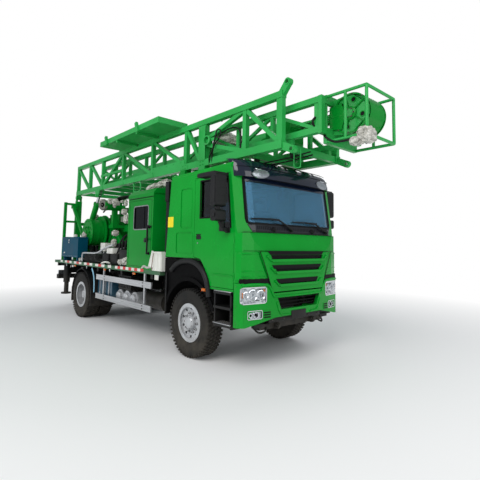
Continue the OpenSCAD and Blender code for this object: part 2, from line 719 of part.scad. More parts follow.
// Black arch panels and liners round the front wheels
liner_r = 668;
flare_out = 22;
module front_guards() color("#17181a") place() {
    for (s = sides) {
        difference() {
            slab(s > 0 ? cab_y - 60 : -cab_y + 4, s > 0 ? cab_y - 4 : -cab_y + 60)
                polygon([[-cab_back - 10, floor_z - 8], [door_back + 180, floor_z - 30],
                         [sill_back - 130, floor_z - 158], [sill_back - 52, cab_sill + 10],
                         [sill_back + 30, cab_sill - 10], [sill_back + 130, 900], [sill_back + 130, 700],
                         [-cab_back + 60, 700], [-cab_back - 10, 1000]]);
            bar_y(0, axle_z, -cab_y - past, cab_y + past, 2 * liner_r - 14);
            block_at([-2000, -2000, -500], [2000, 2000, 780]);
        }
        difference() {
            bar_y(0, axle_z, s > 0 ? 610 : -cab_y + 30, s > 0 ? cab_y - 30 : -610, 2 * liner_r + 16);
            bar_y(0, axle_z, -cab_y - past, cab_y + past, 2 * liner_r);
            block_at([-2000, -2000, -500], [2000, 2000, 780]);
        }
        // Flare that stands out from the cab's side
        difference() {
            bar_y(0, axle_z, s > 0 ? cab_y - 20 : -cab_y - flare_out,
                  s > 0 ? cab_y + flare_out : -cab_y + 20,
                  2 * liner_r + 112);
            bar_y(0, axle_z, -cab_y - 2 * past, cab_y + 2 * past, 2 * liner_r - 14);
            block_at([-2000, -2000, -500], [2000, 2000, 780]);
            block_at([step_x[0] - 10, -2000, 0], [2000, 2000, 1000]);
        }
        // Stays from the frame
        for (x = [-430, 430])
            block_at([x - 20, s > 0 ? rails_w / 2 - 60 : -700, rail_top],
                     [x + 20, s > 0 ? 700 : -rails_w / 2 + 60, rail_top + 30]);
    }
}

// Boarding steps under the doors
step_x = [660, 1050];
module steps() color("#1a1b1d") place() {
    for (s = sides) {
        inner = s > 0 ? 890 : -930;
        block_at([step_x[0], inner, 600], [step_x[1], inner + 40, cab_sill - 12]);
        for (x = [step_x[0], step_x[1] - 30])
            block_at([x, s > 0 ? 890 : -1190, 600], [x + 30, s > 0 ? 1190 : -890, cab_sill - 12]);
        for (z = [620, 870, cab_sill - 50])
            block_at([step_x[0], s > 0 ? 890 : -1205, z], [step_x[1], s > 0 ? 1205 : -890, z + 36]);
        // Arm to the chassis rail
        block_at([800, s > 0 ? rails_w / 2 : -900, 900], [880, s > 0 ? 900 : -rails_w / 2, 960]);
    }
}

// Seats, dash and steering wheel that show through the glass
module seat_form(y, z) {
    block_at([-250, y - 240, z], [230, y + 240, z + 300]);
    translate([-250, y - 230, z + 250]) rotate([0, -8, 0]) block_at([0, 0, 0], [130, 460, 620]);
    translate([-330, y - 130, cab_roof - 480]) rotate([0, -8, 0]) block_at([0, 0, -40], [90, 260, 190]);
}
module cab_interior() color("#26282b") place() {
    for (y = [-620, 620]) seat_form(y, floor_z + cab_wall);
    difference() {
        block_at([850, -1080, 1640], [1120, 1080, 1930]);
        block_at([700, -360, 1500], [960, 360, 1800]);
    }
    for (s = sides)
        block_at([900, s * 900 - 60, cab_sill + cab_wall], [1000, s * 900 + 60, 1660]);
    translate([760, 620, 2040]) rotate([0, -62, 0]) {
        rotate_extrude($fn = 40) translate([215, 0]) circle(d = 34, $fn = 16);
        cube([430, 40, 20], center = true);
        translate([0, 0, -200]) cylinder(d = 60, h = 210);
    }
}

// Cab door on side s, hinged at its front edge
module door(s) color("#1fa33c") place() {
    difference() {
        slab(s > 0 ? cab_y - cab_wall : -cab_y, s > 0 ? cab_y : -cab_y + cab_wall)
            polygon(door_edge(door_gap));
        slab(-cab_y - past, cab_y + past) polygon(window_edge(0));
        // Handle recess
        slab(s > 0 ? cab_y - 20 : -cab_y - past, s > 0 ? cab_y + past : -cab_y + 20)
            plate_2d([150, 1870], [290, 1960], 15);
        for (z = door_hinges)
            hinge_room(door_front, s * cab_y, z, hinge_l + 2 * ear_l + 14);
    }
    for (z = door_hinges)
        hinge_tube(door_front, s * cab_y, z, [-40, -s * 10]);
    // Handle bar across the recess
    block_at([150, s > 0 ? cab_y - 12 : -cab_y + 2, 1925], [290, s > 0 ? cab_y - 2 : -cab_y + 12, 1945]);
}

module door_glass(s) color("#7f9aa8", 0.5) place()
    slab(s > 0 ? cab_y - 30 - glass_t : -cab_y + 30, s > 0 ? cab_y - 30 : -cab_y + 30 + glass_t)
        polygon(window_edge(0));

// Wide mirror heads on arms from the door
mirror_x = 905;
mirror_out = 270;
mirror_top = screen_top - 30;
module mirror_head(s) color("#141516") place() {
    y0 = s * (cab_y + 70);
    y1 = s * (cab_y + mirror_out);
    low = min(y0, y1);
    high = max(y0, y1);
    main_low = mirror_top - 490;
    // Main head, wide head under it, and the necks between them
    translate([0, low, 0]) thick_y(high - low)
        plate_2d([mirror_x - 64, main_low], [mirror_x + 60, mirror_top], 40);
    translate([0, low + 5, 0]) thick_y(high - low - 10)
        plate_2d([mirror_x - 58, main_low - 210], [mirror_x + 65, main_low - 46], 34);
    translate([mirror_x, (y0 + y1) / 2, main_low - 22]) cube([40, 60, 60], center = true);
    // Upper and lower arm from the door
    block_at([mirror_x - 25, min(s * cab_y, y1), mirror_top - 24],
             [mirror_x + 25, max(s * cab_y, y1), mirror_top + 16]);
    block_at([mirror_x - 20, min(s * cab_y, y0 + s * 60), 1985],
             [mirror_x + 60, max(s * cab_y, y0 + s * 60), 2030]);
    block_at([mirror_x - 20, min(y0, y0 + s * 60), 1985],
             [mirror_x + 30, max(y0, y0 + s * 60), main_low - 190]);
    // Kerb mirror over the right door's window
    if (s < 0)
        translate([0, -cab_y - 250, 0]) thick_y(150)
            plate_2d([mirror_x - 420, mirror_top - 40], [mirror_x - 20, mirror_top + 24], 30);
}

// Deck and what stands on it

deck_front = -cab_back - 60;
module deck() color("#23603a") place() {
    block_at([-tail + 90, -side_y, deck_z - deck_t], [deck_front, side_y, deck_z]);
}

// Operator's cabin behind the cab on the right side
booth_x1 = -1120;
booth_x0 = booth_x1 - booth_l;
booth_y0 = -side_y + 6;
booth_y1 = booth_y0 + booth_d;
booth_top = deck_z + booth_h;
function booth_door_edge(g) = [
    [booth_x0 + 50 + g, deck_z + 50 + g], [booth_x0 + 50 + g, booth_top - 110 - g],
    [booth_x1 - 50 - g, booth_top - 110 - g], [booth_x1 - 50 - g, deck_z + 50 + g]
];
booth_win = [[booth_x1 - 740, 2065], [booth_x1 - 170, 2515]];
booth_hinges = [1560, 2480];  // heights of the cabin door's two hinges
module booth() color("#189235") place() {
    difference() {
        block_at([booth_x0, booth_y0, deck_z], [booth_x1, booth_y1, booth_top]);
        block_at([booth_x0 + booth_wall, booth_y0 + booth_wall, deck_z + booth_wall],
                 [booth_x1 - booth_wall, booth_y1 - booth_wall, booth_top - booth_wall]);
        slab(booth_y0 - past, booth_y0 + booth_wall + past) polygon(booth_door_edge(0));
        for (z = booth_hinges)
            hinge_room(booth_x0 + 50, booth_y0, z, hinge_l);
        // Windows to the tail and to the inner side
        wall_x(booth_x0 - past, booth_x0 + booth_wall + past)
            plate_2d([booth_y0 + 120, 2000], [booth_y1 - 120, 2620], 40);
        slab(booth_y1 - booth_wall - past, booth_y1 + past) plate_2d([booth_x0 + 150, 2000],
                                                                     [booth_x1 - 150, 2560], 40);
    }
    for (z = booth_hinges)
        hinge_ears(booth_x0 + 50, booth_y0, z);
    // Crowned roof with its rain lip
    wall_x(booth_x0 - 14, booth_x1 + 14)
        polygon([[booth_y0 - 6, booth_top - 60], [booth_y0 - 6, booth_top + 10],
                 [booth_y0 + 60, booth_top + 90],
                 [booth_y1 - 60, booth_top + 90], [booth_y1 + 14, booth_top + 10],
                 [booth_y1 + 14, booth_top - 60],
                 [booth_y1, booth_top - 60], [booth_y1, booth_top - 1], [booth_y0 + 8, booth_top - 1],
                 [booth_y0 + 8, booth_top - 60]]);
}
module booth_door() color("#1b9a38") place() {
    difference() {
        slab(booth_y0, booth_y0 + booth_wall) polygon(booth_door_edge(door_gap));
        slab(booth_y0 - past, booth_y0 + booth_wall + past) plate_2d(booth_win[0], booth_win[1], 50);
        for (z = booth_hinges)
            hinge_room(booth_x0 + 50, booth_y0, z, hinge_l + 2 * ear_l + 14);
    }
    for (z = booth_hinges)
        hinge_tube(booth_x0 + 50, booth_y0, z, [40, 10]);
    // Grab handle
    for (z = grab_z)
        block_at([grab_x, booth_y0 - 60, z], [grab_x + 22, booth_y0, z + 28]);
    block_at([grab_x, booth_y0 - 60, grab_z[0]], [grab_x + 22, booth_y0 - 34, grab_z[1] + 28]);
    // Latch
    block_at([grab_x - 110, booth_y0 - 40, 1860], [grab_x - 20, booth_y0 - 18, 1890]);
    block_at([grab_x - 110, booth_y0 - 40, 1860], [grab_x - 85, booth_y0, 1890]);
}
grab_x = booth_x1 - 120;
grab_z = [1600, 2085];
module booth_glass() color("#38444c", 0.6) place()
    slab(booth_y0 + 16, booth_y0 + 16 + glass_t) plate_2d(booth_win[0], booth_win[1], 50);
module booth_interior() color("#2c2e31") place() {
    block_at([booth_x1 - 420, booth_y0 + 220, deck_z + booth_wall],
             [booth_x1 - 80, booth_y0 + 600, deck_z + 460]);
    block_at([booth_x1 - 170, booth_y0 + 220, deck_z + 440], [booth_x1 - 80, booth_y0 + 600, deck_z + 980]);
    block_at([booth_x0 + booth_wall, booth_y0 + 130, deck_z + booth_wall],
             [booth_x0 + 260, booth_y1 - 130, deck_z + 640]);
}

// White ribbed locker between the cabin and the cab
locker_x = [booth_x1 + 10, -cab_back - 24];
locker_top = deck_z + 330;
module locker() color("#e6e7e2") place() {
    slab(-side_y + 4, -side_y + 420)
        polygon([[locker_x[0], deck_z], [locker_x[0] + 60, locker_top], [locker_x[1], locker_top],
                 [locker_x[1], deck_z]]);
    for (i = [0 : 2])
        block_at([locker_x[0] + 80 + 110 * i, -side_y - 6, deck_z + 10],
                 [locker_x[0] + 96 + 110 * i, -side_y + 6, locker_top - 20]);
    block_at([locker_x[0] + 50, -side_y - 6, locker_top - 20],
             [locker_x[1], -side_y + 420, locker_top + 10]);
}

// Air intake duct behind the cab, and the round air cleaner over the drum
module intake() color("#222426") place() {
    block_at([-cab_back - 110, -1130, locker_top + 10], [-cab_back - 20, -960, 2560]);
    block_at([-cab_back - 120, -1150, 2560], [-cab_back - 10, -940, 2920]);
}

// Under the deck

tank_d = 0.106 * bay_l;
module air_tanks() color("#b9bcc0") place() {
    for (x = [bay(0.386), bay(0.512), bay(0.638)])
        for (s = sides) {
            bar_y(x, 690, s > 0 ? 560 : -1080, s > 0 ? 1080 : -560, tank_d);
            bar_y(x, 690, s > 0 ? 520 : -1120, s > 0 ? 1120 : -520, tank_d - 90);
            block_at([x - 30, s > 0 ? rails_w / 2 : -600, 780], [x + 30, s > 0 ? 600 : -rails_w / 2, 840]);
        }
}
module fuel_tank() color("#1c4f6e") place() {
    for (s = sides) {
        difference() {
            slab(s > 0 ? 520 : -1160, s > 0 ? 1160 : -520) plate_2d([bay(0), 560], [bay(0.291), 1010], 60);
            for (i = [0 : 4])
                block_at([bay(0.031 + i * 0.051), s > 0 ? 1150 : -1170, 540],
                         [bay(0.051 + i * 0.051), s > 0 ? 1170 : -1150, 1020]);
        }
        for (x = [bay(0.055), bay(0.213)])
            block_at([x, s > 0 ? rails_w / 2 : -540, 850], [x + 60, s > 0 ? 540 : -rails_w / 2, 940]);
    }
}
module side_boxes() color("#202225") place() {
    // Battery box over the air tanks, and the exhaust silencer
    for (s = sides)
        difference() {
            block_at([bay(0.409), s > 0 ? rails_w / 2 : -1150, 850],
                     [bay(0.626), s > 0 ? 1150 : -rails_w / 2, 1130]);
            for (i = [0 : 6])
                block_at([bay(0.425 + i * 0.0276), s > 0 ? 1144 : -1170, 870],
                         [bay(0.437 + i * 0.0276), s > 0 ? 1170 : -1144, 1110]);
        }
    translate([bay(0.724), -860, 700]) rotate([0, 90, 0]) cylinder(d = 330, h = 0.276 * bay_l);
    block_at([bay(0.843), -800, 850], [bay(0.866), -rails_w / 2, 910]);
    block_at([bay(0.764), rails_w / 2, 620], [bay(0.992), 1050, 1000]);
}

guard_x = [bay(0.031), bay(1)];
guard_z = [615, 1035];
module side_guards() color("#b4b7ba") place() {
    for (s = sides) {
        y0 = s > 0 ? side_y - 30 : -side_y;
        for (z = guard_z)
            difference() {
                block_at([guard_x[0], y0, z - 56], [guard_x[1], y0 + 30, z + 56]);
                for (k = [-24, 12])
                    block_at([guard_x[0] - past, s > 0 ? side_y - 5 : -side_y - past, z + k],
                             [guard_x[1] + past, s > 0 ? side_y + past : -side_y + 5, z + k + 14]);
            }
        for (x = [bay(0.161), bay(0.882)])
            block_at([x - 25, s > 0 ? side_y - 60 : -side_y + 30, guard_z[0] - 56],
                     [x + 25, s > 0 ? side_y - 30 : -side_y + 60, deck_z - deck_t]);
    }
}

guard_r = 610;
module rear_guards() color("#18191b") place() {
    for (s = sides) {
        y0 = s > 0 ? rear_inner - tyre_w / 2 : -side_y + 10;
        y1 = s > 0 ? side_y - 10 : -rear_inner + tyre_w / 2;
        difference() {
            bar_y(-wheelbase, axle_z, y0, y1, 2 * guard_r + 20);
            bar_y(-wheelbase, axle_z, -2000, 2000, 2 * guard_r);
            block_at([-9000, -2000, -500], [0, 2000, axle_z + 130]);
        }
        // Front leg and rear flap
        for (k = sides)
            block_at([-wheelbase + k * (guard_r + 2) - 12, y0, 330],
                     [-wheelbase + k * (guard_r + 2) + 12, y1, axle_z + 150]);
        block_at([-wheelbase - 60, s > 0 ? rails_w / 2 : y0 + 10, axle_z + guard_r + 4],
                 [-wheelbase + 60, s > 0 ? y1 - 10 : -rails_w / 2, axle_z + guard_r + 50]);
    }
}

// Mast stand at the tail and the rest behind the cab

mast_y = mast_w / 2;
hinge_x = -hinge_back;
hinge_pin = 70;
ear_r = 62;
ear_gap = 6;      // between a mast lug and an ear of the stand
lug_t = 70;
ear_t = 30;
post_w = 100;
stand_foot = 1550;   // how far ahead of the hinge the braces meet the deck
module mast_stand() color("#28a046") place() {
    for (s = sides) {
        // Main post with two ears and the hinge pin
        block_at([hinge_x - post_w / 2, s * mast_y - 80, deck_z],
                 [hinge_x + post_w / 2, s * mast_y + 80, hinge_z - 110]);
        for (k = sides)
            translate([0, s * mast_y + k * (lug_t / 2 + ear_gap + ear_t / 2), 0]) {
                bar_y(hinge_x, hinge_z, -ear_t / 2, ear_t / 2, 2 * ear_r);
                block_at([hinge_x - 50, -ear_t / 2, hinge_z - 130], [hinge_x + 50, ear_t / 2, hinge_z]);
            }
        bar_y(hinge_x, hinge_z, s * mast_y - lug_t / 2 - ear_gap - ear_t,
              s * mast_y + lug_t / 2 + ear_gap + ear_t, hinge_pin);
        // Brace down to the deck, outboard of the raising cylinder
        translate([0, s * (mast_y + 170), 0])
            strut([hinge_x + 60, hinge_z - 260], [hinge_x + stand_foot, deck_z + 40], 70, 70);
        block_at([hinge_x + 10, s > 0 ? mast_y + 60 : -mast_y - 210, hinge_z - 330],
                 [hinge_x + 110, s > 0 ? mast_y + 210 : -mast_y - 60, hinge_z - 230]);
        block_at([hinge_x + stand_foot - 60, s * (mast_y + 170) - 60, deck_z],
                 [hinge_x + stand_foot + 60, s * (mast_y + 170) + 60, deck_z + 60]);
        // Outboard post with a rung, on the tool box side a ladder
        outer = s * (side_y - 160);
        block_at([hinge_x + 60, outer - 35, deck_z], [hinge_x + 130, outer + 35, hinge_z - 170]);
        for (z = [1900, 2370, hinge_z - 240])
            block_at([hinge_x + 60, min(s * (mast_y + 75), outer), z],
                     [hinge_x + 100, max(s * (mast_y + 75), outer), z + 60]);
    }
    // Feet of the raising cylinders
    for (s = sides) {
        for (k = sides)
            translate([0, s * mast_y + k * 50, 0])
                slab(-14, 14) polygon([[cyl_base[0] - 110, deck_z], [cyl_base[0] - 60, cyl_base[1] + 60],
                                       [cyl_base[0] + 60, cyl_base[1] + 60], [cyl_base[0] + 110, deck_z]]);
        bar_y(cyl_base[0], cyl_base[1], s * mast_y - 60, s * mast_y + 60, foot_pin);
    }
    // Cross members between the posts
    for (z = [1500, 2300])
        block_at([hinge_x - 40, -mast_y, z], [hinge_x + 40, mast_y, z + 90]);
}

rest_x = [-960, -860];
module mast_rest() color("#28a046") place() {
    for (s = sides) {
        block_at([rest_x[0], s * mast_y - 50, deck_z], [rest_x[1], s * mast_y + 50, chord_z - 190]);
        block_at([rest_x[0] - 30, s * mast_y - 75, chord_z - 190],
                 [rest_x[1] + 30, s * mast_y + 75, chord_z - chord_b / 2 - seat]);
    }
    block_at([rest_x[0] + 10, -mast_y, chord_z - 350], [rest_x[1] - 10, mast_y, chord_z - 250]);
}

// Drawworks: drum with three flanges on one shaft
drum_x = -drum_back;
shaft_d = 110;
// Each step of the drum from the right: y from, y to, diameter
drum_steps = [
    [-930, -905, disc_d], [-905, -600, drum_d], [-600, -575, disc_d + 180],
    [-575, -500, drum_d - 40], [-500, -470, disc_d + 230]
];
module drum() color("#1b9a3a") place() {
    for (k = drum_steps) bar_y(drum_x, drum_z, k[0], k[1], k[2]);
    bar_y(drum_x, drum_z, -980, 400, shaft_d);
    for (i = [0 : 5])
        rotate_about(drum_x, drum_z, i * 60) bar_y(drum_x + 150, drum_z, -950, -920, 60);
}
module rotate_about(x, z, a) {
    translate([x, 0, z]) rotate([0, a, 0]) translate([-x, 0, -z]) children();
}

// Chain case: a teardrop from the drum's shaft down to the drive sprocket
chain_end = [-4080, 1640];
module chain_case() color("#1f9f3d") place() {
    difference() {
        union() {
            slab(-460, -350) hull() {
                translate([drum_x, drum_z]) circle(r = 420, $fn = 48);
                translate(chain_end) circle(r = 190, $fn = 32);
            }
            // Feet
            for (k = [[chain_end[0] - 15, 135, chain_end[1]], [drum_x, 180, drum_z]])
                slab(-452, -358) polygon([[k[0] - k[1], deck_z], [k[0] + k[1], deck_z],
                                          [k[0] + k[1], k[2]], [k[0] - k[1], k[2]]]);
            bar_y(chain_end[0], chain_end[1], -500, -460, 150);
        }
        bar_y(drum_x, drum_z, -600, -200, shaft_d + 2 * fit);
    }
}

module power_box() color("#1a8f38") place() {
    difference() {
        block_at([-5010, -340, deck_z], [-4450, 790, 2560]);
        bar_y(drum_x, drum_z, -600, 500, 130);
    }
    // Ribs on the box's front face
    for (z = [1600, 1950, 2300])
        block_at([-4450, -320, z], [-4435, 770, z + 40]);
}

// Engine that drives the drawworks, as a plain block with its cooler, and its air cleaner
module deck_engine() color("#3b3d40") place() {
    block_at([-4000, -260, deck_z], [-2500, 700, 2250]);
    block_at([-2480, -330, deck_z], [-2160, 860, 2450]);
    block_at([-2500, -200, deck_z + 50], [-2480, 600, 2200]);
    bar_y(-4250, 2750, -860, -420, 250);
    block_at([-4300, -620, 2200], [-4200, -500, 2660]);
    block_at([-4440, -620, 2180], [-4200, -260, 2260]);
    block_at([-4300, -300, 2100], [-3990, -220, 2260]);
}

module tool_box() color("#0e5362") place() {
    block_at([-5980, -side_y + 8, deck_z + 110], [-4810, -side_y + 250, deck_z + 625]);
    for (x = [-5900, -4950])
        block_at([x, -side_y + 30, deck_z], [x + 60, -side_y + 230, deck_z + 110]);
}

// Levelling jack at the tail: a round leg that slides down in its sleeve
jack_x = -6180;
jack_y = 1010;
jack_d = 120;
foot_z = 380;
module jack(s) color("#2e3033") place() translate([jack_x, s * jack_y, foot_z]) {
    translate([0, 0, 40]) cylinder(d = jack_d, h = sleeve_z + 470 - foot_z);
    cylinder(d = 260, h = 40);
}

// Mast, lower section

mast_back = -6520;
top_z = chord_z + mast_h;
post_d = 80;
web_t = 70;
// Each post: x, its width along the mast
posts = [[-6500, 90], [-5600, 80], [-4750, 80], [-3550, 80], [-2150, 80], [-880, 80], [-330, 180],
         [760, 80], [1510, 110]];
// Each diagonal: x at the bottom chord, x at the top chord
webs = [[-5640, -6470], [-4760, -5570], [-4740, -3590], [-2180, -3510], [-910, -2120], [-420, -860]];
cyl_x = -4950;       // where the raising cylinders push
cyl_drop = 60;       // how far their pin lies below the hinge's height
cyl_gap = 46;        // half the gap between two cylinder lugs

module mast_side(s) {
    translate([0, s * mast_y, 0]) difference() {
        union() {
            block_at([mast_back, -chord_b / 2, chord_z - chord_b / 2],
                     [mast_front, chord_b / 2, chord_z + chord_b / 2]);
            block_at([mast_back, -chord_t / 2, top_z - chord_t / 2],
                     [mast_front, chord_t / 2, top_z + chord_t / 2]);
            for (k = posts)
                block_at([k[0] - k[1] / 2, -post_d / 2, chord_z], [k[0] + k[1] / 2, post_d / 2, top_z]);
            for (k = webs)
                strut([k[0], chord_z + 40], [k[1], top_z - 30], web_t, web_t - 6);
            // Bays ahead of the portal post
            strut([-290, chord_z + mast_h / 2 + 35], [750, top_z - 30], web_t, web_t - 6);
            strut([-290, chord_z + mast_h / 2 - 35], [750, chord_z + 40], web_t, web_t - 6);
            strut([770, top_z - 34], [1500, chord_z + 40], web_t, web_t - 8);
            // Mid rail
            block_at([-4850, -30, chord_z + 290], [-3550, 30, chord_z + 350]);
            // Deep plate over the cab's rear
            block_at([-2150, -chord_b / 2 + 8, chord_z], [-880, chord_b / 2 - 8, chord_z + 150]);
            // Portal post hangs below the chord
            block_at([-420, -chord_b / 2, chord_z - 150], [-240, chord_b / 2, chord_z]);
            // Hinge lug at the tail
            block_at([hinge_x - 62, -lug_t / 2, hinge_z], [hinge_x + 90, lug_t / 2, chord_z]);
            bar_y(hinge_x, hinge_z, -lug_t / 2, lug_t / 2, 2 * ear_r);
            // Lugs of the raising cylinder
            for (k = sides)
                translate([0, k * (cyl_gap + 12), 0])
                    slab(-12, 12) polygon([[cyl_x - 160, chord_z - 30],
                                           [cyl_x - 60, hinge_z - cyl_drop - 50],
                                           [cyl_x + 60, hinge_z - cyl_drop - 50],
                                           [cyl_x + 160, chord_z - 30]]);
            // Heads of their pin
            for (k = sides)
                translate([0, k * (cyl_gap + 28), 0]) bar_y(cyl_x, hinge_z - cyl_drop, -12, 12, 72);
            end_lug(mast_front - 10, chord_z - 20, -24);
            end_lug(mast_front - 40, top_z + 10, 50);
            // Ears and pin of the work platform, on the right side only
            if (s < 0) {
                for (k = sides)
                    block_at([board_x - 38, k * 43 - 7, top_z], [board_x + 38, k * 43 + 7, board_z + 38]);
                bar_y(board_x, board_z, -50, 50, board_pin);
            }
        }
        bar_y(hinge_x, hinge_z, -200, 200, hinge_pin + 2 * fit);
        end_hole(mast_front - 10, chord_z - 20, -24);
        end_hole(mast_front - 40, top_z + 10, 50);
    }
}
end_reach = 190;
end_hole_d = 60;
module end_lug(x, z, a) {
    translate([x, 0, z]) rotate([0, -a, 0]) {
        translate([-60, -36, -55]) cube([end_reach + 60, 72, 110]);
        translate([end_reach, 36, 0]) rotate([90, 0, 0]) cylinder(d = 116, h = 72);
    }
}
module end_hole(x, z, a) {
    translate([x, 0, z]) rotate([0, -a, 0])
        translate([end_reach, 60, 0]) rotate([90, 0, 0]) cylinder(d = end_hole_d, h = 120);
}
module mast_right() color("#4bb35c") place() mast_side(-1);
module mast_left() color("#4bb35c") place() mast_side(1);

upper_low = chord_z + chord_b / 2 + 60;
upper_z = upper_low + upper_chord / 2;
upper_y = upper_w / 2;
upper_back = -5300;
// Cross members and the two slide rails that carry the upper section
module mast_floor() color("#44a955") place() {
    in_y = mast_y - chord_b / 2;
    for (k = posts)
        block_at([k[0] - 40, -in_y, chord_z - 50], [k[0] + 40, in_y, chord_z + 50]);
    for (s = sides)
        block_at([-5640, s * upper_y - 35, chord_z + 50], [1560, s * upper_y + 35, upper_low - seat]);
    for (x = [-4100, -2900, 200])
        block_at([x - 30, -in_y, chord_z - 40], [x + 30, in_y, chord_z + 50]);
}

// Upper section, drawn in for the road
upper_posts = [-5250, -4450, -3650, -2850, -2050, -1250, -450, 350, 1150, 1995];
upper_top = upper_z + upper_h;
module mast_upper() color("#46ad57") place() {
    for (s = sides) translate([0, s * upper_y, 0]) {
        for (z = [upper_z, upper_top])
            block_at([upper_back, -upper_chord / 2, z - upper_chord / 2],
                     [upper_front, upper_chord / 2, z + upper_chord / 2]);
        for (x = upper_posts)
            block_at([x - 32, -32, upper_z], [x + 32, 32, upper_top]);
        for (i = [0 : len(upper_posts) - 2])
            strut([upper_posts[i], i % 2 ? upper_z + 20 : upper_top - 20],
                  [upper_posts[i + 1], i % 2 ? upper_top - 20 : upper_z + 20], 50, 46);
    }
    for (x = upper_posts)
        block_at([x - 32, -upper_y, upper_z - 30], [x + 32, upper_y, upper_z + 30]);
}

// Crown: sheaves between side plates at the end of the upper section, in a tube cage
crown_x = upper_front + 330;
crown_z = (upper_z + upper_top) / 2;
cage_y = 370;
cage_low = chord_z;
cage_top = upper_top + 55;
tube = 44;
module crown() color("#4bb35c") place() {
    // Header that joins the two sides
    for (z = [upper_z - 8, upper_top + 3])
        block_at([upper_front, -upper_y - 45, z - 52], [upper_front + 60, upper_y + 45, z + 47]);
    for (s = sides)
        block_at([upper_front, s * upper_y - 45, upper_z], [upper_front + 60, s * upper_y + 45, upper_top]);
    for (s = sides)
        slab(s > 0 ? 190 : -220, s > 0 ? 220 : -190)
            polygon([[upper_front + 50, upper_z - 40], [upper_front + 50, upper_top + 30],
                     [crown_x, crown_z + sheave_d / 2 + 30], [crown_x + sheave_d / 2 + 10, crown_z + 60],
                     [crown_x + sheave_d / 2 + 10, crown_z - 60], [crown_x, crown_z - sheave_d / 2 - 30]]);
    bar_y(crown_x, crown_z, -260, 260, 110);
    for (i = [0 : 4])
        translate([crown_x, -140 + i * 70, crown_z]) rotate([90, 0, 0]) rotate_extrude($fn = 40)
            polygon([[50, -22], [150, -10], [sheave_d / 2, -24], [sheave_d / 2 - 36, 0], [sheave_d / 2, 24],
                     [150, 10], [50, 22]]);
    // Guard cage
    x0 = upper_front + 30;
    x1 = nose - tube / 2;
    for (s = sides) {
        for (z = [cage_low, cage_top])
            rod_to([x0, s * cage_y, z], [x1, s * cage_y, z], tube);
        for (x = [x0, (x0 + x1) / 2, x1])
            rod_to([x, s * cage_y, cage_low], [x, s * cage_y, cage_top], tube);
    }
    for (z = [cage_low, cage_top])
        for (x = [x0, x1])
            rod_to([x, -cage_y, z], [x, cage_y, z], tube);
    block_at([upper_front, -cage_y - 22, cage_low - 22], [upper_front + 60, cage_y + 22, upper_z - 20]);
    block_at([upper_front, -cage_y - 22, upper_top], [upper_front + 60, cage_y + 22, cage_top + 22]);
}

// Travelling block and its five ropes, stowed in the upper section
module block() color("#33363a") place() {
    slab(-170, 170) plate_2d([700, upper_z + 30], [1240, upper_top - 30], 60);
    for (i = [0 : 4])
        rod_to([1230, -140 + i * 70, crown_z + 60],
               [crown_x - sheave_d / 2 + 16, -140 + i * 70, crown_z + 60], 22);
    slab(-60, 60) plate_2d([480, upper_z + 90], [720, upper_z + 250], 40);
}

// Work platform over the right chord, hinged at its rear edge
board_x = -board_back;
board_z = top_z + chord_t / 2 + 60;
board_y0 = -side_y - 10;
board_y1 = -mast_y + 90;
board_pin = 30;
module platform() color("#2fa24a") place() {
    low = top_z + chord_t / 2 + seat;
    difference() {
        block_at([board_x + 60, board_y0, low], [board_x + board_l, board_y1, low + 110]);
        block_at([board_x + 100, board_y0 + 40, low + 16],
                 [board_x + board_l - 40, board_y1 - 40, low + 120]);
    }
    // Ribs under the floor
    for (x = [board_x + 900, board_x + 1800])
        block_at([x, board_y0 + 10, low - 50], [x + 50, -mast_y - 70, low + 1]);
    // Hinge eye
    difference() {
        union() {
            bar_y(board_x, board_z, -mast_y - 30, -mast_y + 30, 90);
            block_at([board_x, -mast_y - 30, board_z - 45], [board_x + 70, -mast_y + 30, board_z + 45]);
        }
        bar_y(board_x, board_z, -mast_y - 60, -mast_y + 60, board_pin + 2 * fit);
    }
    // Bracket stubs at the outer edge
    for (x = [board_x + 450, board_x + 1900])
        translate([x, board_y0, low + 60]) rotate([0, -24, 0]) block_at([-30, -40, -100], [36, 10, 120]);
}

// Raising cylinders between the stand's foot and the mast
cyl_base = [-6000, 1470];
cyl_eye = [cyl_x, hinge_z - cyl_drop];
cyl_run = cyl_eye - cyl_base;
cyl_l = norm(cyl_run);
cyl_a = atan2(cyl_run[1], cyl_run[0]);
barrel_d = 150;
rod_d = 80;
barrel_l = cyl_l - 230;
foot_pin = 60;
module along_cylinder(s) {
    translate([cyl_base[0], s * mast_y, cyl_base[1]]) rotate([0, 90 - cyl_a, 0]) children();
}
module barrels() color("#2b9a45") place() {
    for (s = sides) along_cylinder(s) difference() {
        union() {
            translate([0, 0, 100]) cylinder(d = barrel_d, h = barrel_l - 100);
            rotate([90, 0, 0]) cylinder(d = 120, h = 60, center = true);
            translate([-60, -30, 0]) cube([120, 60, 120]);
            translate([0, 0, barrel_l - 60]) cylinder(d = barrel_d + 24, h = 60);
        }
        rotate([90, 0, 0]) cylinder(d = foot_pin + 2 * fit, h = 100, center = true);
        translate([0, 0, 140]) cylinder(d = rod_d + 2 * fit, h = cyl_l);
    }
}
module rods() color("#d5d8dc") place() {
    for (s = sides) along_cylinder(s) {
        translate([0, 0, 160]) cylinder(d = rod_d, h = cyl_l - 200);
        translate([0, 0, cyl_l]) rotate([90, 0, 0]) cylinder(d = 100, h = 2 * cyl_gap - 12, center = true);
    }
}

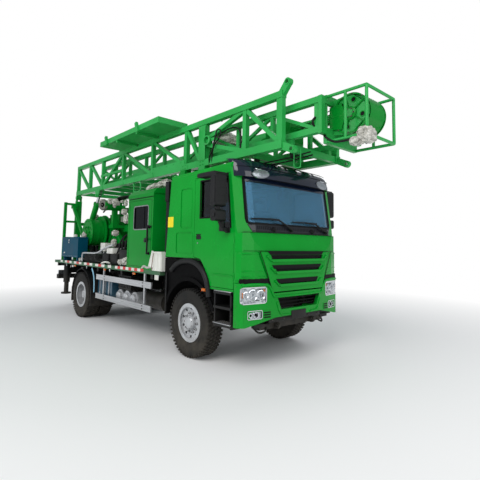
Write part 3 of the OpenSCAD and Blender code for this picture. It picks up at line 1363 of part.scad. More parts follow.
frame();
front_axle();
rear_axle();
springs();
engine();
cab_shell();
grille();
bumper();
lamps();
cab_glass();
sun_visor();
front_guards();
steps();
cab_interior();
deck();
booth();
booth_interior();
locker();
intake();
air_tanks();
fuel_tank();
side_boxes();
side_guards();
rear_guards();
mast_stand();
mast_rest();
drum();
chain_case();
power_box();
deck_engine();
tool_box();
door(-1);  // door_r
door_glass(-1);  // door_glass_r
mirror_head(-1);  // mirror_r
door(1);  // door_l
door_glass(1);  // door_glass_l
mirror_head(1);  // mirror_l
booth_door();
booth_glass();
knuckle(-1);  // knuckle_r
knuckle(1);  // knuckle_l
front_tyre(-1);  // front_tyre_r
front_rim(-1);  // front_rim_r
front_tyre(1);  // front_tyre_l
front_rim(1);  // front_rim_l
rear_tyres(-1);  // rear_tyres_r
rear_rim(-1);  // rear_rim_r
rear_tyres(1);  // rear_tyres_l
rear_rim(1);  // rear_rim_l
mast_right();
mast_left();
mast_floor();
mast_upper();
crown();
block();
platform();
barrels();
rods();
jack(-1);  // jack_r
jack(1);  // jack_l
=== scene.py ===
# %% [markdown]
# # A truck-mounted workover rig, dressed for a portrait
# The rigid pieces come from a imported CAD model, which stays untouched as a fixed frame. This lesson adds
# what CAD leaves out: paint with dust in it, tyre tread, rubber seals, ropes, hoses, bolts and lamps.
# Lengths are in metres. Places are counted from the front axle: forward, to the left, and up from the
# ground, because that is how a vehicle maker's drawing counts them.

# %% Load the frame
import math
import random
import bmesh
import bpy
from mathutils import Matrix, Vector
from mathutils import noise as cloud_noise


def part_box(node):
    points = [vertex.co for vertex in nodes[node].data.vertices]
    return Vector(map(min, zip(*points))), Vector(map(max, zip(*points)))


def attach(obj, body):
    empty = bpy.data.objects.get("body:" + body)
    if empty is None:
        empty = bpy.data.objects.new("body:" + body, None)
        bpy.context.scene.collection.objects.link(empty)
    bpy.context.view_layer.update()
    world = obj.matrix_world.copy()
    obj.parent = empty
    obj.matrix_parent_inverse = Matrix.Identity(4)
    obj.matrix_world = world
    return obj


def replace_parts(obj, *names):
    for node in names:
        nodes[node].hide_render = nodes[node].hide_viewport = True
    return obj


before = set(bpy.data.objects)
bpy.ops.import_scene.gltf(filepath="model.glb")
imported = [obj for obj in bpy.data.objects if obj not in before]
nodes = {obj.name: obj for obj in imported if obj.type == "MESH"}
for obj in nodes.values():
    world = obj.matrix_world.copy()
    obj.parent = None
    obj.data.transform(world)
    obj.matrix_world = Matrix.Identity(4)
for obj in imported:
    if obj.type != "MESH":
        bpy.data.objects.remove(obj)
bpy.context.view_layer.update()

# %% Where the front axle stands in the frame
tyre_low, tyre_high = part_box("front_tyre_r")
AXLE_X = (tyre_low[0] + tyre_high[0]) / 2
AXLE_Z = (tyre_low[2] + tyre_high[2]) / 2
TYRE_R = (tyre_high[2] - tyre_low[2]) / 2
WHEELBASE = 4.49


def at(x, y, z):
    """A point given from the front axle, in the frame's own metres."""
    return Vector((x + AXLE_X, y, z))


print("front axle at x", round(AXLE_X, 3), "wheel radius", round(TYRE_R, 3))

# %% [markdown]
# ## The camera
# A camera can be guessed by eye, or worked out from known sizes. Here the wheels, the deck's edge and the
# mast's long chords gave its place, so the picture's lines and the model's lines fall on each other. The
# lens looks slightly up, and the frame is shifted a little instead of tilting further.

# %% Camera
EYE = at(5.204, -4.841, 1.780)
YAW, PITCH, ROLL = 2.40232, 0.08353, 0.01596
FOCAL_PX, FRAME_PX = 386.95, 480
SENSOR = 36.0

ahead = Vector((math.cos(PITCH) * math.cos(YAW), math.cos(PITCH) * math.sin(YAW), math.sin(PITCH)))
level_right = Vector((math.sin(YAW), -math.cos(YAW), 0))
level_up = level_right.cross(ahead)
right = level_right * math.cos(ROLL) + level_up * math.sin(ROLL)
up = -level_right * math.sin(ROLL) + level_up * math.cos(ROLL)

lens = bpy.data.cameras.new("rig_camera")
lens.sensor_width = SENSOR
lens.lens = FOCAL_PX * SENSOR / FRAME_PX
lens.shift_y = -0.0552
lens.clip_end = 200
camera = bpy.data.objects.new("rig_camera", lens)
camera.matrix_world = Matrix(((right.x, up.x, -ahead.x, EYE.x), (right.y, up.y, -ahead.y, EYE.y),
                              (right.z, up.z, -ahead.z, EYE.z), (0, 0, 0, 1)))
bpy.context.collection.objects.link(camera)
bpy.context.scene.camera = camera
print("camera lens", round(lens.lens, 1), "mm")

# %% [markdown]
# ## Hoses that hang free
# Most lines on the rig are clipped down. Three hoses hang between fittings: two at the portal post, and one
# under the crown. Their routes come first, because everything else must leave room for them.

# %% Free hoses
def cord_curve(name, points, radius, body):
    """A round hose as a smooth curve through points, riding a body."""
    curve = bpy.data.curves.new(name, "CURVE")
    curve.dimensions = "3D"
    curve.bevel_depth = radius
    curve.bevel_resolution = 4
    curve.resolution_u = 8
    spline = curve.splines.new("BEZIER")
    spline.bezier_points.add(len(points) - 1)
    for knot, p in zip(spline.bezier_points, points):
        knot.co = p
        knot.handle_left_type = knot.handle_right_type = "AUTO"
    obj = bpy.data.objects.new(name, curve)
    bpy.context.collection.objects.link(obj)
    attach(obj, body)
    return obj


def run_length(points):
    """Roughly how long a hose through the points is."""
    return 1.02 * sum((b - a).length for a, b in zip(points, points[1:]))


mast_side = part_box("mast_upper")[0][1]
# Each hose: name, body, radius and the places that it passes
hose_routes = (
    ("portal_hose", "mast", 0.012, (
        (-0.120, -0.735, 3.195), (-0.065, -0.778, 3.311), (0.030, -0.785, 3.439), (0.050, -0.785, 3.539),
        (0.100, -0.785, 3.640), (0.145, -0.785, 3.745), (0.195, -0.775, 3.745), (0.215, -0.765, 3.690),
        (0.150, -0.755, 3.600), (0.030, -0.750, 3.520), (-0.010, -0.755, 3.401), (-0.029, -0.750, 3.291),
        (-0.040, -0.735, 3.195))),
    ("portal_arch_hose", "mast", 0.013, (
        (0.000, -0.690, 3.725), (0.090, -0.655, 3.735), (0.255, -0.615, 3.781), (0.426, -0.615, 3.766),
        (0.531, -0.630, 3.707), (0.610, -0.660, 3.560), (0.630, -0.690, 3.360))),
    ("crown_hose", "mast_upper", 0.015, (
        (1.985, mast_side + 0.010, 3.600), (1.960, mast_side - 0.018, 3.530), (2.011, -0.408, 3.409),
        (2.113, -0.405, 3.293), (2.229, -0.400, 3.222), (2.357, -0.395, 3.208), (2.520, -0.385, 3.215))))
free_hoses = []
for name, body, radius, places in hose_routes:
    route = [at(*place) for place in places]
    hose = cord_curve(name, route, radius, body)
    free_hoses.append(hose)
    print(name, round(run_length(route), 2), "m")

# %% [markdown]
# ## Paint, rubber and metal
# Every finish is two close tones mixed by soft noise, because no real surface has one flat colour. Most add
# a fine bump, and the ones low on the truck gather road dust, which fades with height. All of it is
# procedural and reads Object coordinates, so a pattern stays on its piece when the piece moves.

# %% Colour and noise helpers
def srgb(r, g, b):
    """A colour as a screen shows it, 0 to 255, turned into the linear values that a shader takes."""
    def linear(c):
        c /= 255
        return c / 12.92 if c <= 0.04045 else ((c + 0.055) / 1.055) ** 2.4
    return (linear(r), linear(g), linear(b), 1.0)


def noise(tree, scale, detail=3.0, stretch=(1, 1, 1)):
    """Soft noise on Object coordinates, stretched along the axes."""
    place = tree.nodes.new("ShaderNodeTexCoord")
    turn = tree.nodes.new("ShaderNodeMapping")
    turn.inputs["Scale"].default_value = stretch
    cloud = tree.nodes.new("ShaderNodeTexNoise")
    cloud.inputs["Scale"].default_value = scale
    cloud.inputs["Detail"].default_value = detail
    tree.links.new(place.outputs["Object"], turn.inputs["Vector"])
    tree.links.new(turn.outputs["Vector"], cloud.inputs["Vector"])
    return cloud.outputs["Fac"]


def spread(tree, value, low, high, to_low=0.0, to_high=1.0):
    """Maps a value from low..high to to_low..to_high, clamped."""
    node = tree.nodes.new("ShaderNodeMapRange")
    for socket, number in zip(("From Min", "From Max", "To Min", "To Max"), (low, high, to_low, to_high)):
        node.inputs[socket].default_value = number
    tree.links.new(value, node.inputs["Value"])
    return node.outputs["Result"]


def blend_colour(tree, factor, a, b):
    """Mixes two colours, each a tuple or a socket, by a factor socket."""
    node = tree.nodes.new("ShaderNodeMix")
    node.data_type = "RGBA"
    tree.links.new(factor, node.inputs["Factor"])
    for socket, colour in ((node.inputs[6], a), (node.inputs[7], b)):
        if isinstance(colour, tuple):
            socket.default_value = colour
        else:
            tree.links.new(colour, socket)
    return node.outputs[2]


def product(tree, a, b):
    """One value socket times another."""
    node = tree.nodes.new("ShaderNodeMath")
    node.operation = "MULTIPLY"
    tree.links.new(a, node.inputs[0])
    tree.links.new(b, node.inputs[1])
    return node.outputs[0]


def height(tree):
    """Height above the ground, in metres."""
    place = tree.nodes.new("ShaderNodeTexCoord")
    split = tree.nodes.new("ShaderNodeSeparateXYZ")
    tree.links.new(place.outputs["Object"], split.inputs[0])
    return split.outputs["Z"]


print("colour and noise helpers ready")

# %% One recipe for every opaque finish
ROAD_DUST = srgb(142, 132, 116)
finishes = {}


def finish(name, colour, second, rough=(0.30, 0.42), clouds=2.5, metal=0.0, coat=0.0, dust=None,
           bump=0.0, bump_scale=300.0, stretch=(1, 1, 1), specular=0.5):
    """Two tones in clouds, a roughness that follows them, dust up to a height, and a fine bump."""
    colour, second = srgb(*colour), srgb(*second)
    material = bpy.data.materials.new(name)
    material.use_nodes = True
    tree = material.node_tree
    shader = tree.nodes["Principled BSDF"]
    shader.inputs["Metallic"].default_value = metal
    shader.inputs["Coat Weight"].default_value = coat
    shader.inputs["Coat Roughness"].default_value = 0.06
    shader.inputs["Specular IOR Level"].default_value = specular
    cloud = noise(tree, clouds, 4.0, stretch)
    tone = blend_colour(tree, spread(tree, cloud, 0.35, 0.68), colour, second)
    rough_map = spread(tree, cloud, 0.3, 0.7, rough[0], rough[1])
    if dust:
        top, amount = dust
        low_down = spread(tree, height(tree), 0.15, top, amount, 0.0)
        film = product(tree, low_down, spread(tree, noise(tree, 9.0, 5.0), 0.30, 0.62, 0.25, 1.0))
        tone = blend_colour(tree, film, tone, ROAD_DUST)
    tree.links.new(tone, shader.inputs["Base Color"])
    tree.links.new(rough_map, shader.inputs["Roughness"])
    if bump:
        relief = tree.nodes.new("ShaderNodeBump")
        relief.inputs["Strength"].default_value = bump
        relief.inputs["Distance"].default_value = 0.002
        tree.links.new(noise(tree, bump_scale, 3.0, stretch), relief.inputs["Height"])
        tree.links.new(relief.outputs["Normal"], shader.inputs["Normal"])
    finishes[name] = material


print("recipe ready, with road dust", [round(c, 3) for c in ROAD_DUST[:3]])

# %% The rig's opaque finishes
finish("cab_enamel", (0, 140, 38), (3, 150, 44), (0.22, 0.30), 1.2, coat=0.10, dust=(1.0, 0.08),
       bump=0.04, bump_scale=55, specular=0.12)
finish("rig_enamel", (0, 124, 36), (3, 134, 42), (0.28, 0.38), 2.0, coat=0.08, bump=0.08, bump_scale=70,
       specular=0.12)
finish("mast_enamel", (30, 150, 64), (40, 162, 76), (0.32, 0.42), 1.6, coat=0.10, bump=0.08,
       bump_scale=80, specular=0.28)
finish("deck_enamel", (34, 96, 58), (64, 92, 66), (0.45, 0.65), 3.0, bump=0.5, bump_scale=45)
finish("teal_enamel", (0, 66, 88), (3, 74, 96), (0.42, 0.54), 2.0, specular=0.10, bump=0.05, bump_scale=80)
finish("blue_enamel", (8, 66, 90), (14, 74, 98), (0.30, 0.45), 2.5, coat=0.2, dust=(1.1, 0.35))
finish("white_enamel", (222, 223, 216), (206, 207, 199), (0.32, 0.46), 2.5, dust=(1.3, 0.12))
finish("visor_plastic", (9, 17, 32), (13, 23, 42), (0.08, 0.14), 1.2, coat=0.25)
finish("frame_black", (14, 15, 16), (24, 24, 23), (0.42, 0.62), 5.0, dust=(1.0, 0.25), bump=0.12,
       bump_scale=90, specular=0.25)
finish("grained_black", (11, 12, 14), (18, 19, 21), (0.42, 0.56), 6.0, dust=(1.0, 0.12), bump=0.25,
       bump_scale=420, specular=0.28)
finish("well_black", (3, 3, 4), (6, 6, 7), (0.60, 0.75), 6.0, dust=(0.9, 0.06), bump=0.2, bump_scale=300,
       specular=0.08)
finish("engine_grey", (70, 73, 76), (88, 90, 91), (0.45, 0.60), 5.0, bump=0.15, bump_scale=110)
finish("tyre_rubber", (24, 24, 24), (38, 37, 35), (0.70, 0.88), 7.0, dust=(0.95, 0.16), bump=0.3,
       bump_scale=230, specular=0.25)
finish("lamp_silver", (168, 174, 180), (138, 144, 150), (0.12, 0.22), 30.0, metal=0.6, bump=0.3,
       bump_scale=60)
finish("air_filter_grey", (104, 104, 96), (90, 90, 84), (0.35, 0.5), 8.0, bump=0.1, bump_scale=80)
finish("wheel_silver", (196, 199, 203), (176, 178, 181), (0.34, 0.50), 6.0, metal=0.35, dust=(1.0, 0.26),
       bump=0.05, bump_scale=160)
finish("brushed_alloy", (198, 200, 203), (180, 182, 185), (0.26, 0.40), 9.0, metal=0.85,
       dust=(1.0, 0.14), bump=0.10, bump_scale=60, stretch=(0.15, 6, 6))
finish("polished_rod", (214, 217, 221), (202, 206, 211), (0.07, 0.14), 4.0, metal=1.0)
finish("cast_iron", (76, 74, 72), (98, 92, 86), (0.55, 0.72), 8.0, metal=0.4, bump=0.35, bump_scale=150)
finish("hose_rubber", (8, 8, 9), (14, 14, 15), (0.42, 0.58), 12.0, bump=0.12, bump_scale=300, specular=0.25)
finish("seal_rubber", (5, 5, 6), (9, 9, 10), (0.50, 0.62), 8.0, bump=0.1, bump_scale=300, specular=0.15)
finish("window_seal_grey", (112, 116, 118), (126, 130, 131), (0.55, 0.68), 9.0, bump=0.1, bump_scale=300)
finish("seat_vinyl", (44, 47, 52), (58, 61, 66), (0.55, 0.70), 14.0, bump=0.35, bump_scale=380)
finish("dash_plastic", (50, 53, 57), (60, 63, 67), (0.50, 0.62), 10.0, bump=0.3, bump_scale=420)
finish("white_fitting", (218, 218, 212), (200, 200, 193), (0.30, 0.45), 10.0, bump=0.1, bump_scale=120)
finish("rust_brown", (96, 62, 44), (122, 80, 55), (0.60, 0.78), 9.0, bump=0.3, bump_scale=130)
finish("sky_blue_strip", (120, 176, 204), (138, 190, 214), (0.35, 0.50), 6.0)
finish("warning_red", (190, 34, 32), (204, 44, 40), (0.30, 0.42), 8.0)
finish("sticker_yellow", (232, 210, 8), (238, 218, 22), (0.35, 0.48), 8.0)
# Film: its darker second tone, spread by noise, is painted shade of the folds
finish("film_wrap", (206, 204, 196), (132, 132, 124), (0.26, 0.50), 16.0, coat=0.15, bump=0.9,
       bump_scale=38, stretch=(1, 1, 2.2))
finish("cowl_plastic", (14, 18, 26), (20, 25, 34), (0.26, 0.36), 6.0, bump=0.15, bump_scale=300)
finish("reflector", (196, 202, 206), (120, 126, 132), (0.10, 0.22), 26.0, metal=0.9, bump=0.5,
       bump_scale=70)
finish("mirror_face", (206, 212, 216), (196, 203, 208), (0.02, 0.04), 3.0, metal=1.0)
finish("pale_cover", (178, 184, 176), (160, 168, 160), (0.60, 0.75), 8.0, bump=0.2, bump_scale=200)
print(len(finishes), "opaque finishes")

# %% [markdown]
# ## Glass and lamp lenses
# Window glass on a truck is thin and slightly tinted. A principled shader with full transmission needs its
# light to pass through the pane, so the panes are solids with two faces, and a little tint makes the cab
# read as dark inside.

# %% Clear finishes
def clear_finish(name, tint, rough=0.03, ior=1.45, transmission=1.0, painted_reflection_tint=None, specular=0.5):
    """Glass or clear plastic. Its tone drifts a little across the pane."""
    tint = srgb(*tint)
    material = bpy.data.materials.new(name)
    material.use_nodes = True
    tree = material.node_tree
    shader = tree.nodes["Principled BSDF"]
    shader.inputs["Transmission Weight"].default_value = transmission
    shader.inputs["IOR"].default_value = ior
    shader.inputs["Specular IOR Level"].default_value = specular
    if painted_reflection_tint:
        shader.inputs["Specular Tint"].default_value = srgb(*painted_reflection_tint)
    darker = tuple(c * 0.90 for c in tint[:3]) + (1.0,)
    tree.links.new(blend_colour(tree, spread(tree, noise(tree, 1.5), 0.35, 0.65), tint, darker),
                   shader.inputs["Base Color"])
    tree.links.new(spread(tree, noise(tree, 20.0, 4.0), 0.4, 0.8, rough, rough + 0.05),
                   shader.inputs["Roughness"])
    finishes[name] = material


# Windscreen: its blue specular tint is a painted reflection that turns the white lamps' glints sky blue
clear_finish("screen_glass", (112, 172, 206), 0.01, transmission=0.72, painted_reflection_tint=(140, 196, 236))
clear_finish("side_glass", (60, 70, 78), 0.01)
# Operator's cabin: a near-black pane that passes little light, painted shade of the unlit room behind it
clear_finish("cabin_glass", (10, 13, 18), 0.01, transmission=0.3, specular=0.04)
clear_finish("lamp_lens", (228, 236, 240), 0.05)
clear_finish("amber_lens", (240, 130, 20), 0.12, 1.49, 0.55)
clear_finish("red_lens", (200, 22, 20), 0.12, 1.49, 0.55)
print(len(finishes), "finishes in all")

# %% [markdown]
# ## A finish for every CAD node
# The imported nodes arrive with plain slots. Each gets the finish that the photograph shows for it, and its
# mesh is left alone, so the dressed rig keeps the CAD model's exact sizes.

# %% Finishes of the CAD nodes
node_finish = {
    "cab_enamel": "cab_shell grille bumper door_r door_l",
    "rig_enamel": "booth booth_door mast_stand mast_rest drum chain_case power_box barrels deck_engine block",
    "mast_enamel": "mast_right mast_left mast_floor mast_upper crown platform",
    "deck_enamel": "deck",
    "teal_enamel": "tool_box",
    "blue_enamel": "fuel_tank",
    "white_enamel": "locker",
    "visor_plastic": "sun_visor",
    "frame_black": "frame front_axle rear_axle springs side_boxes jack_r jack_l knuckle_r knuckle_l",
    "well_black": "front_guards",
    "grained_black": "steps intake rear_guards mirror_r mirror_l",
    "engine_grey": "engine",
    "seat_vinyl": "cab_interior booth_interior",
    "brushed_alloy": "side_guards",
    "polished_rod": "rods",
    "tyre_rubber": "front_tyre_r front_tyre_l rear_tyres_r rear_tyres_l",
    "wheel_silver": "air_tanks front_rim_r front_rim_l rear_rim_r rear_rim_l",
    "screen_glass": "cab_glass",
    "side_glass": "door_glass_r door_glass_l",
    "cabin_glass": "booth_glass",
    "lamp_lens": "lamps",
}
for finish_name, names in node_finish.items():
    for name in names.split():
        nodes[name].data.materials.clear()
        nodes[name].data.materials.append(finishes[finish_name])
for hose in free_hoses:
    hose.data.materials.append(finishes["hose_rubber"])
unpainted = sorted(set(nodes) - set(" ".join(node_finish.values()).split()))
print("nodes without a finish:", unpainted)

# %% [markdown]
# ## Tools for new pieces
# Everything added from here is a bmesh: it starts from a cube, a cone or a few vertices, and bevels,
# extrudes or spins from there. Pieces are built straight at their place, so each object sits at the origin
# like a CAD node.

# %% From a bmesh to a finished piece
def piece(name, bm, finish_name, body="chassis", smooth=40, both=False):
    """Makes an object of a bmesh that rides a body; with both, the right side is mirrored to the left."""
    if both:
        bmesh.ops.mirror(bm, geom=bm.verts[:] + bm.edges[:] + bm.faces[:], matrix=Matrix.Identity(4),
                         axis="Y")
    bmesh.ops.recalc_face_normals(bm, faces=bm.faces)
    mesh = bpy.data.meshes.new(name)
    bm.to_mesh(mesh)
    bm.free()
    mesh.polygons.foreach_set("use_smooth", [True] * len(mesh.polygons))
    mesh.set_sharp_from_angle(angle=math.radians(smooth))
    mesh.materials.append(finishes[finish_name])
    obj = bpy.data.objects.new(name, mesh)
    bpy.context.collection.objects.link(obj)
    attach(obj, body)
    return obj


def pair(name, bm, finish_name, body=None):
    """Two pieces, the right one as built and its mirror image, riding the right and left body if named."""
    left = bm.copy()
    bmesh.ops.scale(left, vec=(1, -1, 1), verts=left.verts)
    for letter, shape in (("_r", bm), ("_l", left)):
        piece(name + letter, shape, finish_name, body + letter if body else "chassis")


def block(bm, low, high, edge=0.0, turn=None):
    """A box between two corners, its edges bevelled, turned about its middle if asked."""
    low, high = Vector(low), Vector(high)
    size = Matrix.Diagonal((*(high - low), 1.0))
    place = Matrix.Translation((low + high) / 2) @ (turn.to_4x4() if turn else Matrix.Identity(4))
    made = bmesh.ops.create_cube(bm, size=1.0, matrix=place @ size)
    if edge:
        edges = list({e for v in made["verts"] for e in v.link_edges})
        bmesh.ops.bevel(bm, geom=edges, offset=edge, affect="EDGES", segments=2, profile=0.5, material=-1)


def slab(bm, low, high, edge=0.0, turn=None):
    """A block whose corners are counted from the front axle."""
    block(bm, at(*low), at(*high), edge, turn)


def rib(bm, middle, half, angle):
    """A small block about a place, turned by degrees in the side view."""
    half = Vector(half)
    block(bm, middle - half, middle + half, 0.003, Matrix.Rotation(-math.radians(angle), 3, "Y"))


def bar(bm, a, b, radius, sides=16, end_radius=None):
    """A round bar or cone between two points."""
    a, b = Vector(a), Vector(b)
    turn = (b - a).to_track_quat("Z", "Y").to_matrix().to_4x4()
    bmesh.ops.create_cone(bm, cap_ends=True, segments=sides, radius1=radius,
                          radius2=radius if end_radius is None else end_radius,
                          depth=(b - a).length, matrix=Matrix.Translation((a + b) / 2) @ turn)


def bolt(bm, centre, direction, size=0.012, tall=0.009):
    """A hexagon head on a washer."""
    centre, direction = Vector(centre), Vector(direction).normalized()
    bar(bm, centre, centre + direction * 0.002, size * 0.85, 12)
    bar(bm, centre + direction * 0.002, centre + direction * tall, size * 0.6, 6)


def lathe(bm, profile, centre, axis, steps=48):
    """Spins a profile of (radius, distance along the axis) round an axis through centre."""
    axis = Vector(axis).normalized()
    place = Matrix.Translation(centre) @ axis.to_track_quat("Z", "Y").to_matrix().to_4x4()
    ring = [bm.verts.new(place @ Vector((r, 0, h))) for r, h in profile]
    edges = [bm.edges.new(pair_of_ends) for pair_of_ends in zip(ring, ring[1:])]
    bmesh.ops.spin(bm, geom=ring + edges, cent=centre, axis=axis, angle=math.tau, steps=steps,
                   use_merge=True)
    bmesh.ops.remove_doubles(bm, verts=bm.verts, dist=1e-6)


def smooth_path(points, per_span=6):
    """Points of a soft curve that passes through the given ones."""
    points = [Vector(p) for p in points]
    padded = [points[0] * 2 - points[1]] + points + [points[-1] * 2 - points[-2]]
    path = []
    for before, a, b, after in zip(padded, padded[1:], padded[2:], padded[3:]):
        for k in range(per_span):
            t = k / per_span
            path.append(0.5 * (2 * a + (b - before) * t + (2 * before - 5 * a + 4 * b - after) * t * t
                               + (3 * a - before - 3 * b + after) * t ** 3))
    return path + [points[-1]]


def tube(bm, path, radius, sides=10):
    """A round tube along a path, closed at both ends, made by sweeping one ring."""
    rings = []
    normal = None
    for i, p in enumerate(path):
        along = (path[min(i + 1, len(path) - 1)] - path[max(i - 1, 0)]).normalized()
        if normal is None:
            normal = along.orthogonal().normalized()
        normal = (normal - along * normal.dot(along)).normalized()
        frame_there = Matrix((normal, along.cross(normal), along)).transposed().to_4x4()
        made = bmesh.ops.create_circle(bm, segments=sides, radius=radius,
                                       matrix=Matrix.Translation(p) @ frame_there)
        rings.append(list({e for v in made["verts"] for e in v.link_edges}))
    for one, two in zip(rings, rings[1:]):
        bmesh.ops.bridge_loops(bm, edges=one + two)
    for end in (rings[0], rings[-1]):
        bmesh.ops.contextual_create(bm, geom=end)


def pipe(bm, places, radius, sides=10, per_span=6):
    """A tube along a soft curve through places counted from the front axle."""
    tube(bm, smooth_path([at(*place) for place in places], per_span), radius, sides)


print("tools ready")

# %% [markdown]
# ## Tyres
# A truck tyre is a body of revolution with tread blocks moulded on it. Carving grooves into a spun shape
# makes heavy meshes, so the body is spun once with its crown a little low, and small blocks stand on it in
# five rows, the outer two reaching round the shoulder, as on a tyre for rough roads.

# %% Tyre shape
TYRE_W = 0.296
BEAD_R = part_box("front_rim_r")[1][2] - AXLE_Z + 0.001
TREAD_DEPTH = 0.016
BLOCKS_ROUND = 52
# Each row of blocks: its place across the tyre, its width and its length round it
TREAD_ROWS = ((-0.118, 0.040, 0.030), (-0.062, 0.044, 0.036), (0.0, 0.046, 0.038), (0.062, 0.044, 0.036),
              (0.118, 0.040, 0.030))


def tyre_profile(crown):
    """Radius and half-width of the tyre's section, from the outer bead over the crown to the inner bead."""
    half = TYRE_W / 2
    # Distance above the bead, and how far the wall sets in
    wall = ((-0.008, 0.032), (0.010, 0.022), (0.020, 0.014), (0.060, 0.004), (0.066, 0.0015),
            (0.074, 0.0015), (0.080, 0.004), (0.120, 0.003), (0.165, 0.008), (0.195, 0.014))
    side = [(BEAD_R + up, half - inward) for up, inward in wall]
    side += [(crown - 0.008, half - 0.024), (crown, half - 0.040)]
    return side + [(r, -h) for r, h in reversed(side)]


def tread(bm, y, centre_x):
    """Five rows of blocks round one tyre, the outer two with lugs that run down the sidewall."""
    top, base = TYRE_R - 0.0005, TYRE_R - TREAD_DEPTH - 0.004
    for row, (across, wide, long) in enumerate(TREAD_ROWS):
        side = math.copysign(1, across)
        shape = (Matrix.Translation((0, across, (top + base) / 2))
                 @ Matrix.Rotation(math.radians(9 if row in (1, 3) else 0), 4, "Z")
                 @ Matrix.Diagonal((long, wide, top - base, 1)))
        lug = (Matrix.Translation((0, side * (TYRE_W / 2 - 0.0135), TYRE_R - 0.026))
               @ Matrix.Rotation(math.radians(-24 * side), 4, "X")
               @ Matrix.Diagonal((long * 0.9, 0.014, 0.040, 1)))
        for k in range(BLOCKS_ROUND):
            angle = math.tau * (k + 0.5 * (row % 2)) / BLOCKS_ROUND
            out = Matrix.Translation((centre_x, y, AXLE_Z)) @ Matrix.Rotation(angle, 4, "Y")
            for form in (shape, lug) if row in (0, 4) else (shape,):
                bmesh.ops.create_cube(bm, size=1.0, matrix=out @ form)


print("tyre section of", len(tyre_profile(TYRE_R)), "points")

# %% Front tyres and rear twin tyres
REAR_X = AXLE_X - WHEELBASE
front_y = 1.190 - TYRE_W / 2
outer_y = 1.245 - TYRE_W / 2
inner_y = outer_y - TYRE_W - 0.036
for end, node, centre_x, across in (("front", "front_tyre_", AXLE_X, (front_y,)),
                                    ("rear", "rear_tyres_", REAR_X, (outer_y, inner_y))):
    for side, letter in ((-1, "r"), (1, "l")):
        bm = bmesh.new()
        for y in across:
            lathe(bm, tyre_profile(TYRE_R - TREAD_DEPTH), (centre_x, side * y, AXLE_Z), (0, 1, 0), 72)
            tread(bm, side * y, centre_x)
        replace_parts(piece(f"{end}_tyre_tread_{letter}", bm, "tyre_rubber", f"{end}_wheel_{letter}", 30),
                    node + letter)
    print(end, "tyres at", [round(y, 3) for y in across])

# %% [markdown]
# ## Wheel hardware
# The CAD rims have the dish, hand holes and hub. Up close a wheel also shows its valve, a ring of small cap
# bolts, and stud ends through the nuts.

# %% Valves, stud ends and cap bolts
def wheel_hardware(side, centre_x, nut_face, cap_face, body):
    """Ten stud ends with their washers, eight bolts on the hub's cap, and the valve."""
    def spot(radius, turn, y):
        angle = math.tau * turn
        return Vector((centre_x + radius * math.cos(angle), side * y, AXLE_Z + radius * math.sin(angle)))

    bm = bmesh.new()
    for k in range(10):
        for start, end, radius, sides in ((-0.002, 0.012, 0.010, 10), (-0.026, -0.021, 0.021, 16)):
            bar(bm, spot(0.150, k / 10, nut_face + start), spot(0.150, k / 10, nut_face + end), radius,
                sides)
    for k in range(8):
        bolt(bm, spot(0.092, (k + 0.5) / 8, cap_face - 0.013), (0, side, 0), 0.010, 0.008)
    bar(bm, (centre_x + 0.236, side * (nut_face - 0.06), AXLE_Z + 0.04),
        (centre_x + 0.232, side * (nut_face + 0.02), AXLE_Z + 0.04), 0.005, 8)
    piece(body + "_studs", bm, "cast_iron", body)


for side, letter in ((-1, "r"), (1, "l")):
    wheel_hardware(side, AXLE_X, 1.139, 1.186, "front_wheel_" + letter)
    wheel_hardware(side, REAR_X, 0.934, 1.171, "rear_wheel_" + letter)
print("wheel hardware on four wheels")

# %% [markdown]
# ## Seals, strips and thin plates
# Two more tools carry most of the trim. A ribbon is a flat strip that follows a path with its face turned
# one way, which makes window seals and painted bands. A plate is a thin solid between corners, for panels
# that lean.

# %% Ribbons and leaning plates
def skin(bm, rings, closed=False):
    """Joins rings of four corners into a strip, and closes its ends unless it runs round."""
    rings = [[bm.verts.new(corner) for corner in ring] for ring in rings]
    for one, two in list(zip(rings, rings[1:])) + ([(rings[-1], rings[0])] if closed else []):
        for k in range(4):
            bm.faces.new((one[k], one[(k + 1) % 4], two[(k + 1) % 4], two[k]))
    if not closed:
        bm.faces.new(rings[0])
        bm.faces.new(list(reversed(rings[-1])))


def ribbon(bm, path, out, wide, thick, closed=False):
    """A flat strip along a path, its face turned to out, its back on the path."""
    out = Vector(out).normalized()
    count = len(path)
    rings = []
    for i, p in enumerate(path):
        before = path[i - 1] if i or closed else p
        after = path[(i + 1) % count] if i + 1 < count or closed else p
        side = (after - before).cross(out).normalized() * wide / 2
        rings.append((p - side, p + side, p + side + out * thick, p - side + out * thick))
    skin(bm, rings, closed)


def plate(bm, corners, thick, edge=0.0):
    """A thin solid whose back is the flat polygon given and whose front lies thick ahead along its normal."""
    face = bm.faces.new([bm.verts.new(c) for c in corners])
    face.normal_update()
    step = face.normal * thick
    made = bmesh.ops.extrude_face_region(bm, geom=[face])
    front = [v for v in made["geom"] if isinstance(v, bmesh.types.BMVert)]
    bmesh.ops.translate(bm, vec=step, verts=front)
    if edge:
        rim = [e for e in {e for v in front for e in v.link_edges} if all(v in front for v in e.verts)]
        bmesh.ops.bevel(bm, geom=rim, offset=edge, affect="EDGES", segments=2, profile=0.5, material=-1)


def rounded(low, high, radius, steps=4):
    """Points round a rectangle with round corners, as pairs."""
    centres = ((high[0] - radius, high[1] - radius, 0), (low[0] + radius, high[1] - radius, 90),
               (low[0] + radius, low[1] + radius, 180), (high[0] - radius, low[1] + radius, 270))
    return [(cx + radius * math.cos(math.radians(start + 90 * k / steps)),
             cz + radius * math.sin(math.radians(start + 90 * k / steps)))
            for cx, cz, start in centres for k in range(steps + 1)]


def upright(pairs, y):
    """Places of an upright side plane, from pairs of how far forward and how high."""
    return [at(x, y, z) for x, z in pairs]


def between(table, value):
    """Reads a table of pairs, with a straight line between its rows."""
    for (a, fa), (b, fb) in zip(table, table[1:]):
        if value <= b:
            return fa + (fb - fa) * (value - a) / (b - a)
    return table[-1][1]


print("ribbon, plate and rounded are ready")

